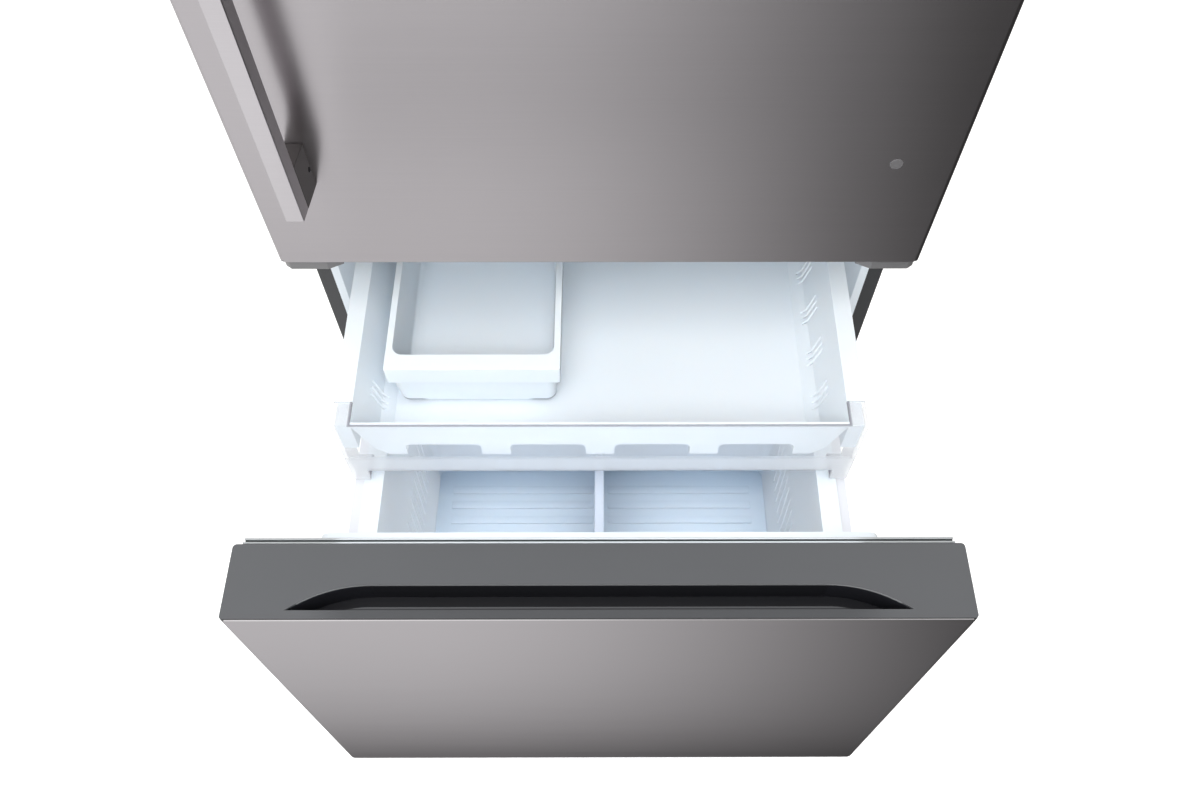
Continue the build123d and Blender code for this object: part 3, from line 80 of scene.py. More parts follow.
# ---- shared shader effects
class NodeTree:
    """A thin helper that adds and links shader nodes."""

    MIX_FACTOR, MIX_FIRST, MIX_SECOND, MIX_RESULT = 0, 6, 7, 2  # places of a Mix node's colours

    def __init__(self, tree: bpy.types.NodeTree) -> None:
        """Keep the node tree of a material, a world or a group."""
        self.tree = tree

    def add(self, kind: str, inputs: Inputs | None = None, **values: object) -> Node:
        """Add a node.

        Args:
            kind: the node's bl_idname.
            inputs: what its inputs get.
            values: properties of the node itself.

        Returns:
            The new node.
        """
        node = self.tree.nodes.new(kind)
        for name, value in values.items():
            setattr(node, name, value)
        self.feed(node, inputs or {})
        return node

    def feed(self, node: Node, inputs: Inputs) -> None:
        """Connect outputs to a node's inputs, or set them.

        Args:
            node: the node.
            inputs: a socket, a number, a vector or an RGB colour for each input's name or place.
        """
        for name, value in inputs.items():
            target = node.inputs[name]
            if isinstance(value, Socket):
                self.tree.links.new(value, target)
            elif target.type == "RGBA":
                target.default_value = (*value, 1.0)
            else:
                target.default_value = value

    def maths(self, operation: str, first: Value, second: Value = 0.0) -> Socket:
        """Add a Math node and fetch its result."""
        return self.add("ShaderNodeMath", {0: first, 1: second}, operation=operation).outputs[0]

    def product(self, first: Socket, *factors: Value) -> Socket:
        """Multiply values.

        Args:
            first: a socket.
            factors: sockets or numbers.

        Returns:
            The product.
        """
        for factor in factors:
            first = self.maths("MULTIPLY", first, factor)
        return first

    def blend(self, factor: Value, first: Value, second: Value) -> Socket:
        """Mix two colours, each of them a socket or RGB."""
        inputs = {self.MIX_FACTOR: factor, self.MIX_FIRST: first, self.MIX_SECOND: second}
        return self.add("ShaderNodeMix", inputs, data_type="RGBA").outputs[self.MIX_RESULT]

    def ramp(self, value: Socket, span: Span, start: float, end: float) -> Socket:
        """Map a value smoothly from one number to another, clamped.

        Args:
            value: the socket to map.
            span: where the change starts and ends.
            start: the result where it starts.
            end: the result where it ends.

        Returns:
            The mapped value.
        """
        inputs = dict(zip(("From Min", "From Max", "To Min", "To Max"), (*span, start, end)))
        inputs["Value"] = value
        node = self.add("ShaderNodeMapRange", inputs, interpolation_type="SMOOTHSTEP")
        return node.outputs["Result"]

    def rise(self, value: Socket, span: Span, full: float = 1.0) -> Socket:
        """Ramp from 0 up to the full share."""
        return self.ramp(value, span, 0.0, full)

    def fall(self, value: Socket, span: Span, full: float = 1.0) -> Socket:
        """Ramp from the full share down to 0."""
        return self.ramp(value, span, full, 0.0)

    def band(self, value: Socket, spans: tuple[Span, Span], full: float = 1.0) -> Socket:
        """Rise over the first span and fall over the second."""
        return self.product(self.rise(value, spans[0], full), self.fall(value, spans[1]))

    def split(self, vector: Socket) -> tuple[Socket, Socket, Socket]:
        """Split a vector into its X, Y and Z."""
        return tuple(self.add("ShaderNodeSeparateXYZ", {0: vector}).outputs)

    def looks(self) -> tuple[Socket, Socket, Socket]:
        """Split the direction that the surface faces."""
        return self.split(self.add("ShaderNodeNewGeometry").outputs["Normal"])

    def place(self) -> Socket:
        """Object coordinates."""
        return self.add("ShaderNodeTexCoord").outputs["Object"]


class Effect:
    """Shader node groups, each built once and placed in many materials."""

    FINE_LINES: Point = (9.0, 9.0, 1500.0)  # noise scales are repeats per metre
    BROAD_LINES: Point = (2.5, 2.5, 260.0)
    FINE_SHARE = 0.65
    LINE_SWING = 0.1  # how far the roughness follows the pattern
    GRAIN: Point = (2200.0, 2200.0, 2200.0)
    CLOUDS: Point = (7.0, 7.0, 7.0)
    CLOUD_HEIGHT = 0.5
    CLOUD_SWING = 0.15
    PATCHES: Point = (14.0, 14.0, 14.0)
    PATCH_SPAN: Span = (0.35, 0.75)
    PATCH_LEAST = 0.2
    UPWARD: Span = (0.5, 1.0)  # how far a dusty face looks up
    DUST: Colour = (0.62, 0.6, 0.57)
    DUST_ROUGHNESS = 0.5

    @staticmethod
    def group(name: str, strength: str, *outputs: str) -> tuple[NodeTree, object, Node]:
        """Start a group that takes coordinates, a colour, a roughness and the effect's strength.

        Args:
            name: the effect's name.
            strength: the name of the last input.
            outputs: the names of the outputs other than colour and roughness.

        Returns:
            The group's tree, the sockets that come into it and the node that they go out by.
        """
        tree = bpy.data.node_groups.new(name, "ShaderNodeTree")
        kinds = {"Vector": "NodeSocketVector", "Colour": "NodeSocketColor"}
        inputs = ("Vector", "Colour", "Roughness", strength)
        for way, labels in (("INPUT", inputs), ("OUTPUT", ("Colour", "Roughness", *outputs))):
            for label in labels:
                kind = kinds.get(label, "NodeSocketFloat")
                tree.interface.new_socket(label, in_out=way, socket_type=kind)
        nodes = NodeTree(tree)
        return nodes, nodes.add("NodeGroupInput").outputs, nodes.add("NodeGroupOutput")

    @staticmethod
    def noise(nodes: NodeTree, vector: Socket, stretch: Point, detail: float) -> Socket:
        """A noise value on a stretched vector.

        Args:
            nodes: the tree that it is added to.
            vector: the coordinates.
            stretch: how often the noise repeats along each axis, per metre.
            detail: the noise's detail.

        Returns:
            The noise value, from 0 to 1.
        """
        mapping = nodes.add("ShaderNodeMapping", {"Vector": vector, "Scale": stretch})
        inputs = {"Vector": mapping.outputs[0], "Scale": 1.0, "Detail": detail}
        return nodes.add("ShaderNodeTexNoise", inputs).outputs["Fac"]

    @staticmethod
    def vary(nodes: NodeTree, given: object, result: Node, pattern: Socket, swing: float) -> None:
        """Let the colour and the roughness follow a pattern.

        Args:
            nodes: the group's tree.
            given: the sockets that come into the group.
            result: the node that they go out by.
            pattern: a value from 0 to 1.
            swing: how far the roughness follows it.
        """
        centred = nodes.maths("SUBTRACT", pattern, 0.5)
        light = nodes.maths("ADD", nodes.product(centred, given["Contrast"], 2.0), 1.0)
        inputs = {0: given["Colour"], "Scale": light}
        scaled = nodes.add("ShaderNodeVectorMath", inputs, operation="SCALE").outputs[0]
        rough = nodes.maths("ADD", given["Roughness"], nodes.product(centred, swing))
        nodes.feed(result, {"Colour": scaled, "Roughness": rough})

    @classmethod
    @cache
    def brushed(cls) -> bpy.types.NodeTree:
        """Fine lines along X, as a belt leaves them on stainless sheet."""
        nodes, given, result = cls.group("brushed_lines", "Contrast", "Height")
        fine = cls.noise(nodes, given["Vector"], cls.FINE_LINES, detail=3.0)
        broad = cls.noise(nodes, given["Vector"], cls.BROAD_LINES, detail=2.0)
        shares = (nodes.product(fine, cls.FINE_SHARE), nodes.product(broad, 1.0 - cls.FINE_SHARE))
        lines = nodes.maths("ADD", *shares)
        cls.vary(nodes, given, result, lines, cls.LINE_SWING)
        nodes.feed(result, {"Height": lines})
        return nodes.tree

    @classmethod
    @cache
    def moulded(cls) -> bpy.types.NodeTree:
        """Very fine grain and slow unevenness of a moulded plastic surface."""
        nodes, given, result = cls.group("moulded_grain", "Contrast", "Height")
        grain = cls.noise(nodes, given["Vector"], cls.GRAIN, detail=2.0)
        cloud = cls.noise(nodes, given["Vector"], cls.CLOUDS, detail=2.0)
        cls.vary(nodes, given, result, cloud, cls.CLOUD_SWING)
        height = nodes.maths("ADD", grain, nodes.product(cloud, cls.CLOUD_HEIGHT))
        nodes.feed(result, {"Height": height})
        return nodes.tree

    @classmethod
    @cache
    def dust(cls) -> bpy.types.NodeTree:
        """A thin film of dust and handling marks on surfaces that look up."""
        nodes, given, result = cls.group("dust_film", "Amount")
        patch = cls.noise(nodes, given["Vector"], cls.PATCHES, detail=5.0)
        patch = nodes.ramp(patch, cls.PATCH_SPAN, cls.PATCH_LEAST, 1.0)
        mask = nodes.product(nodes.rise(nodes.looks()[2], cls.UPWARD), patch, given["Amount"])
        dusty = nodes.blend(mask, given["Colour"], cls.DUST)
        rough = nodes.maths("ADD", given["Roughness"], nodes.product(mask, cls.DUST_ROUGHNESS))
        nodes.feed(result, {"Colour": dusty, "Roughness": rough})
        return nodes.tree


# ---- painted shade, painted highlights and other colours on part of a surface
@dataclass(frozen=True)
class Mask:
    """A second colour on part of a node's surface, most often painted shade or a painted highlight.
    """

    node: str
    tint: Colour

    def share(self, nodes: NodeTree, place: Socket) -> Socket:
        """How much of the second colour shows, from 0 to 1; each kind of mask says it here."""
        raise NotImplementedError

    def paint(self, nodes: NodeTree, place: Socket, colour: Socket) -> Socket:
        """Lay the second colour over the colour so far."""
        return nodes.blend(self.share(nodes, place), colour, self.tint)


@dataclass(frozen=True)
class TopZone(Mask):
    """A zone that reaches from a node's top downwards."""

    below: Span = (0.0, 0.001)  # where the zone fades out, from the top down

    def share(self, nodes: NodeTree, place: Socket) -> Socket:
        """See base class."""
        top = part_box(self.node)[1][2]
        return nodes.fall(nodes.maths("SUBTRACT", top, nodes.split(place)[2]), self.below)


@dataclass(frozen=True)
class DeepShade(Mask):
    """Painted shade in the basket: a darker blue, deeper on its floor and at its back."""

    ahead: Span = (0.01, 0.12)  # from the back forwards, where the shade fades out
    back_share: float = 0.75
    above: Span = (0.01, 0.016)  # from the foot upwards
    floor_share: float = 0.3

    def share(self, nodes: NodeTree, place: Socket) -> Socket:
        """See base class."""
        low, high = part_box(self.node)
        _, depth, level = nodes.split(place)
        back = nodes.fall(nodes.maths("SUBTRACT", high[1], depth), self.ahead, self.back_share)
        floor = nodes.fall(nodes.maths("SUBTRACT", level, low[2]), self.above, self.floor_share)
        return nodes.maths("MAXIMUM", back, floor)


@dataclass(frozen=True)
class FootShadow(Mask):
    """A painted contact shadow: dark lines where the front corners of the ice bin's foot touch the
    tray.
    """

    inward: Span = (0.036, 0.05)  # from the bin's widest point, where a line fades out
    full: float = 0.8
    above: Span = (0.009, 0.011)  # from the foot upwards
    behind: Span = (0.045, 0.055)  # from the front backwards
    facing: Span = (-0.5, -0.2)  # how far the surface faces to the back, where the line fades out

    def share(self, nodes: NodeTree, place: Socket) -> Socket:
        """See base class."""
        low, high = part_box(self.node)
        side, depth, level = nodes.split(place)
        middle, half = (low[0] + high[0]) / 2, (high[0] - low[0]) / 2
        out = nodes.maths("ABSOLUTE", nodes.maths("SUBTRACT", side, middle))
        return nodes.product(
            nodes.fall(nodes.maths("SUBTRACT", half, out), self.inward, self.full),
            nodes.fall(nodes.maths("SUBTRACT", level, low[2]), self.above),
            nodes.fall(nodes.maths("SUBTRACT", depth, low[1]), self.behind),
            nodes.fall(nodes.looks()[1], self.facing),
        )


@dataclass(frozen=True)
class GripShades(Mask):
    """The drawer's cap: painted shade on its front strip, painted highlights along the pocket's rim
    and lip, a painted shadow line at the strip's step, painted black shade inside the pocket, and a
    dark seam.

    Spans lie behind the cap's front, apart from those that say below its top or sideways.
    """

    sideways: Span = (0.27, 0.335)  # where the marks that belong to the pocket's straight part end
    # painted shade on the strip in front of the pocket
    strip: Span = (0.0155, 0.0175)
    strip_share: float = 0.5
    strip_shade: Colour = (0.03, 0.031, 0.034)
    pocket: tuple[Span, Span] = ((0.0055, 0.0065), (0.05, 0.051))
    # painted highlights along the pocket's rim and the lip's edge
    edge: Span = (0.018, 0.019)
    edge_below: Span = (0.0001, 0.0004)
    lip: tuple[Span, Span] = ((0.0146, 0.0152), (0.0166, 0.017))
    highlight_share: float = 0.8
    rim_highlight: Colour = (0.27, 0.272, 0.28)
    # a painted shadow line where the strip steps down to the lip
    gap: tuple[Span, Span] = ((0.0114, 0.0118), (0.0128, 0.0132))
    shadow_share: float = 0.8
    gap_shadow: Colour = (0.01, 0.01, 0.012)
    # painted black shade inside the pocket, below the cap's top
    shade_below: Span = (0.003, 0.0036)
    seam: Span = (0.0005, 0.0011)
    seam_share: float = 0.85
    seam_tint: Colour = (0.01, 0.01, 0.01)

    def paint(self, nodes: NodeTree, place: Socket, colour: Socket) -> Socket:
        """See base class."""
        low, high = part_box(self.node)
        side, depth, level = nodes.split(place)
        behind = nodes.maths("SUBTRACT", depth, low[1])
        below = nodes.maths("SUBTRACT", high[2], level)
        middle = nodes.fall(nodes.maths("ABSOLUTE", side), self.sideways)
        pocket = nodes.band(behind, self.pocket)
        strip = nodes.product(nodes.fall(behind, self.strip, self.strip_share), middle)
        edge = nodes.rise(below, self.edge_below, self.highlight_share)
        edge = nodes.product(edge, pocket, nodes.rise(behind, self.edge))
        lip = nodes.product(nodes.band(behind, self.lip, self.highlight_share), pocket, middle)
        gap = nodes.product(nodes.band(behind, self.gap, self.shadow_share), pocket, middle)
        pocket_shade = nodes.product(nodes.rise(below, self.shade_below), pocket)
        # painted shade, painted highlights, a painted shadow line, the pocket's painted shade, then
        # the seam
        layers = (
            (strip, self.strip_shade),
            (nodes.maths("MAXIMUM", edge, lip), self.rim_highlight),
            (gap, self.gap_shadow),
            (pocket_shade, self.tint),
            (nodes.fall(behind, self.seam, self.seam_share), self.seam_tint),
        )
        for share, tint in layers:
            colour = nodes.blend(share, colour, tint)
        return colour


# ---- finishes
@dataclass(frozen=True)
class Finish:
    """A surface finish: its colour, gloss and grain, and how to build its material."""

    name: str
    colour: Colour
    roughness: float = 0.45
    metallic: float = 0.0
    contrast: float = 0.04
    bump: float = 0.05
    bump_depth: float = 0.0001
    dust: float = 0.0
    coat: float = 0.0
    coat_roughness: float = 0.2
    ior: float = 1.5
    alpha: float = 1.0
    subsurface: float = 0.0
    subsurface_radius: Point = (0.006, 0.008, 0.01)
    anisotropy: float = 0.0
    anisotropic_turn: float = 0.0
    brushed: bool = False
    mask: Mask | None = None

    def material(self) -> bpy.types.Material:
        """Build the material, or fetch it if it is there.

        Returns:
            The material.
        """
        found = bpy.data.materials.get(self.name)
        if found:
            return found
        material = bpy.data.materials.new(self.name)
        material.use_nodes = True
        nodes = NodeTree(material.node_tree)
        shader = material.node_tree.nodes["Principled BSDF"]
        place = nodes.place()
        inputs = {
            "Vector": place,
            "Colour": self.colour,
            "Contrast": self.contrast,
            "Roughness": self.roughness,
        }
        effect = Effect.brushed() if self.brushed else Effect.moulded()
        grain = nodes.add("ShaderNodeGroup", node_tree=effect)
        nodes.feed(grain, inputs)
        colour = grain.outputs["Colour"]
        if self.mask:
            colour = self.mask.paint(nodes, place, colour)
        film = nodes.add("ShaderNodeGroup", node_tree=Effect.dust())
        inputs = {"Roughness": grain.outputs["Roughness"], "Amount": self.dust}
        nodes.feed(film, {"Vector": place, "Colour": colour, **inputs})
        inputs = {"Strength": self.bump, "Distance": self.bump_depth}
        bump = nodes.add("ShaderNodeBump", {"Height": grain.outputs["Height"], **inputs})
        inputs = {
            "Base Color": film.outputs["Colour"],
            "Roughness": film.outputs["Roughness"],
            "Normal": bump.outputs["Normal"],
            "Metallic": self.metallic,
            "Coat Weight": self.coat,
            "Coat Roughness": self.coat_roughness,
            "IOR": self.ior,
            "Alpha": self.alpha,
            "Subsurface Weight": self.subsurface,
            "Anisotropic": self.anisotropy,
            "Anisotropic Rotation": self.anisotropic_turn,
        }
        if self.subsurface:
            inputs |= {"Subsurface Radius": self.subsurface_radius, "Subsurface Scale": 1.0}
        nodes.feed(shader, inputs)
        self.last_touch(nodes, shader)
        return material

    def last_touch(self, nodes: NodeTree, shader: Node) -> None:
        """Leave the Principled shader as it is; a special finish changes it here."""


@dataclass(frozen=True)
class ClearFinish(Finish):
    """A thin clear wall: nearly invisible face on, denser at a slant and on its cut edges."""

    contrast: float = 0.0
    bump: float = 0.0
    slant_alpha: float = 0.6
    slant_blend: float = 0.35
    slant_span: Span = (0.25, 1.0)
    edge_colour: Colour = (0.3, 0.3, 0.34)
    edge_alpha: float = 0.7
    edge_span: Span = (0.6, 0.9)  # how far up or down a cut edge looks
    corner_span: Span = (0.25, 0.45)  # the product of the normal's X and Y at a corner
    corner_share: float = 0.8
    pale_beyond: float = 9.0  # sideways from the middle, beyond which the edges are pale
    pale_fade: float = 0.002
    pale_share: float = 0.3
    frost_top: float = 0.0  # the level that the frosted band reaches up to
    frost_fade: float = 0.001
    frost_alpha: float = 0.0

    def last_touch(self, nodes: NodeTree, shader: Node) -> None:
        """Drive the alpha by the slant, the cut edges, the corners and the frosted band."""
        slant = nodes.add("ShaderNodeLayerWeight", {"Blend": self.slant_blend})
        alpha = nodes.ramp(slant.outputs["Facing"], self.slant_span, self.alpha, self.slant_alpha)
        side, depth, level = nodes.looks()
        out, _, height = nodes.split(nodes.place())
        out = nodes.maths("ABSOLUTE", out)
        pale = (self.pale_beyond - self.pale_fade, self.pale_beyond)
        edge = nodes.rise(nodes.maths("ABSOLUTE", level), self.edge_span)
        edge = nodes.product(edge, nodes.ramp(out, pale, 1.0, self.pale_share))
        corner = nodes.maths("ABSOLUTE", nodes.product(side, depth))
        corner = nodes.rise(corner, self.corner_span, self.corner_share)
        edge = nodes.maths("MAXIMUM", edge, corner)
        frost = (self.frost_top - self.frost_fade, self.frost_top)
        alpha = nodes.maths("MAXIMUM", alpha, nodes.fall(height, frost, self.frost_alpha))
        alpha = nodes.maths("MAXIMUM", alpha, nodes.product(edge, self.edge_alpha))
        plain = shader.inputs["Base Color"].links[0].from_socket
        edged = nodes.blend(edge, plain, self.edge_colour)
        nodes.feed(shader, {"Alpha": alpha, "Base Color": edged})


# The black of the painted shade in and round the grip's pocket.
POCKET_SHADE_BLACK: Colour = (0.012, 0.012, 0.015)
STAINLESS = Finish(
    "stainless_sheet", (0.53, 0.503, 0.52), roughness=0.32, metallic=1.0, contrast=0.05, bump=0.1,
    anisotropy=0.85, anisotropic_turn=0.25, brushed=True,
)
# The drawer's stainless: a darker copy of the door's, with a painted highlight along its top edge.
DRAWER_STEEL = replace(
    STAINLESS, name="drawer_stainless", colour=(0.465, 0.441, 0.456),
    mask=TopZone("drawer_skin", (0.9, 0.88, 0.89), below=(0.0004, 0.0012)),
)
BAR_STEEL = Finish(
    "bar_steel", (0.63, 0.604, 0.625), roughness=0.34, metallic=1.0, contrast=0.08, bump=0.15,
    brushed=True,
)
RAIL_STEEL = replace(
    BAR_STEEL, name="rail_steel", colour=(0.5, 0.51, 0.52), roughness=0.28, contrast=0.06, bump=0.05
)
POST_STEEL = Finish("post_steel", (0.11, 0.1, 0.1), roughness=0.42, metallic=0.6)
DARK_STEEL = Finish("dark_screw_steel", (0.05, 0.05, 0.055), roughness=0.4, metallic=0.8)
CASE_PAINT = Finish(
    "case_paint", (0.052, 0.052, 0.055), roughness=0.42, contrast=0.03, bump=0.18,
    bump_depth=0.0002, dust=0.01,
)
CAP_PLASTIC = Finish(
    "cap_plastic", (0.09, 0.092, 0.098), roughness=0.42, contrast=0.05, bump=0.12, dust=0.02
)
# The drawer's cap round the grip, with its painted shade and painted highlights.
GRIP_CAP_PLASTIC = replace(
    CAP_PLASTIC, name="grip_cap_plastic", dust=0.0, mask=GripShades("drawer_top_cap", POCKET_SHADE_BLACK)
)
PLUG_PLASTIC = Finish("plug_plastic", (0.13, 0.125, 0.13), roughness=0.4)
COVER_PLASTIC = Finish("cover_plastic", (0.225, 0.22, 0.224), roughness=0.36, metallic=0.35)
LINER_WHITE = Finish(
    "liner_white", (0.84, 0.895, 0.945), roughness=0.38, contrast=0.02, bump=0.03, coat=0.2
)
MOULDED_WHITE = Finish(
    "moulded_white", (0.85, 0.905, 0.96), roughness=0.38, contrast=0.01, bump=0.03, coat=0.25,
    subsurface=0.15,
)
# The basket's white, with painted shade on its floor and at its back.
BASKET_WHITE = replace(
    MOULDED_WHITE, name="basket_white", mask=DeepShade("basket", (0.4, 0.5, 0.62))
)
# Painted shade: the divider gets a darker copy of the moulded white, for the shade that it stands in.
DIVIDER_IN_SHADE = replace(MOULDED_WHITE, name="divider_in_shade", colour=(0.58, 0.63, 0.73))
# The ice bin's white, with a painted contact shadow at the front corners of its foot.
BIN_WHITE = replace(MOULDED_WHITE, name="bin_white", mask=FootShadow("ice_bin", (0.22, 0.24, 0.27)))
CLEAR_TRIM = ClearFinish(
    "clear_trim", (0.93, 0.94, 0.97), roughness=0.05, alpha=0.15, pale_beyond=0.3295,
    frost_top=0.558, frost_alpha=0.45,
)
CLEAR_PLASTIC = ClearFinish(
    "clear_plastic", (0.9, 0.93, 0.95), roughness=0.06, alpha=0.14, slant_alpha=0.4,
    edge_colour=(0.5, 0.53, 0.56), edge_alpha=0.45,
)
PANE = ClearFinish(
    "shelf_pane", (0.7, 0.84, 0.8), roughness=0.02, alpha=0.12, edge_colour=(0.6, 0.78, 0.74),
    edge_alpha=0.2,
)
RAIL_WHITE = Finish("rail_white", (0.78, 0.79, 0.84), roughness=0.35, contrast=0.02, bump=0.03)
SEAL = Finish("soft_seal", (0.3, 0.305, 0.31), roughness=0.6, contrast=0.05, bump=0.08)
# Painted shade for the seal's grooves: nearly black, against the seal's grey.
GROOVE_SHADE = Finish("seal_groove", (0.02, 0.025, 0.025), roughness=0.7, contrast=0.05)
FOAM = Finish(
    "foam_core", (0.72, 0.6, 0.34), roughness=0.9, contrast=0.2, bump=0.5, bump_depth=0.001
)
# Painted shade: the foam round the grip's pocket, near the drawer's top, is painted as black as the
# pocket's shade.
GRIP_FOAM = replace(
    FOAM, name="grip_foam", mask=TopZone("drawer_top_cap", POCKET_SHADE_BLACK, below=(0.055, 0.06))
)
ZINC = Finish(
    "zinc_sheet", (0.42, 0.43, 0.44), roughness=0.38, metallic=0.9, contrast=0.12, bump=0.08,
    dust=0.08,
)
BLACK_PAINT = Finish(
    "black_paint", (0.012, 0.012, 0.014), roughness=0.22, contrast=0.05, dust=0.1, coat=0.5
)
BLACK_PLASTIC = Finish(
    "black_plastic", (0.02, 0.02, 0.022), roughness=0.5, contrast=0.08, bump=0.15, dust=0.06
)
BLACK_RUBBER = Finish(
    "black_rubber", (0.012, 0.012, 0.012), roughness=0.75, contrast=0.1, bump=0.2, dust=0.05
)
COPPER = Finish(
    "copper_tube", (0.62, 0.27, 0.15), roughness=0.32, metallic=1.0, contrast=0.15, dust=0.05
)
FINS = Finish("fin_aluminium", (0.68, 0.69, 0.7), roughness=0.35, metallic=1.0, contrast=0.08)
LAMP_LENS = Finish(
    "lamp_lens", (0.9, 0.92, 0.9), roughness=0.35, contrast=0.0, bump=0.0, subsurface=0.2
)

NODE_FINISH: dict[Finish, tuple[str, ...]] = {
    STAINLESS: ("door_skin",),
    DRAWER_STEEL: ("drawer_skin",),
    BAR_STEEL: ("handle_bar",),
    POST_STEEL: ("handle_posts",),
    CASE_PAINT: ("outer_shell", "mullion_rail"),
    CAP_PLASTIC: ("door_top_cap", "door_bottom_cap", "drawer_bottom_cap", "toe_grille"),
    GRIP_CAP_PLASTIC: ("drawer_top_cap",),
    COVER_PLASTIC: ("middle_hinge_covers", "top_hinge_cover"),
    PLUG_PLASTIC: ("hole_plugs",),
    LINER_WHITE: (
        "fresh_food_liner", "freezer_liner", "door_liner", "drawer_liner", "evaporator_cover",
    ),
    MOULDED_WHITE: ("upper_tray", "shelf_frames", "door_switch"),
    BASKET_WHITE: ("basket",),
    DIVIDER_IN_SHADE: ("basket_divider",),
    BIN_WHITE: ("ice_bin",),
    CLEAR_TRIM: ("tray_trim",),
    CLEAR_PLASTIC: ("door_bins", "dairy_lid", "crisper_left", "crisper_right"),
    PANE: ("shelf_glass", "crisper_cover"),
    SEAL: ("door_gasket", "drawer_gasket"),
    FOAM: ("insulation_foam", "door_foam"),
    GRIP_FOAM: ("drawer_foam",),
    ZINC: ("back_panel", "base_pan", "roller_brackets", "top_hinge", "middle_hinge"),
    RAIL_STEEL: ("rail_outer", "rail_middle"),
    RAIL_WHITE: ("rail_inner",),
    BLACK_PAINT: ("compressor",),
    BLACK_PLASTIC: (
        "compressor_cover", "condenser_fan_motor", "condenser_fan", "evaporator_fan",
        "front_rollers", "rear_rollers", "levelling_leg_left", "levelling_leg_right",
    ),
    BLACK_RUBBER: ("compressor_mounts",),
    COPPER: ("condenser_coil",),
    FINS: ("evaporator",),
    LAMP_LENS: ("lamp_panel",),
}

EDGE_RADIUS = {
    name: radius
    for radius, names in {
        0.0015: ("lamp_panel",),
        0.0012: ("handle_bar", "middle_hinge_covers"),
        0.001: ("handle_posts", "basket_divider"),
        0.0009: ("upper_tray", "ice_bin", "basket", "drawer_top_cap", "door_liner"),
        0.0008: (
            "tray_trim", "drawer_bottom_cap", "door_bottom_cap", "door_top_cap",
            "top_hinge_cover", "freezer_liner", "fresh_food_liner",
        ),
        0.0006: ("evaporator_cover",),
    }.items()
    for name in names
}

# Pieces that the steel of the door and drawer doesn't mirror.
NOT_MIRRORED = (
    "basket", "basket_divider", "drawer_bottom_cap", "drawer_foam", "drawer_gasket", "drawer_liner",
    "drawer_skin", "ice_bin", "rail_inner", "rail_middle", "tray_trim", "upper_tray",
)


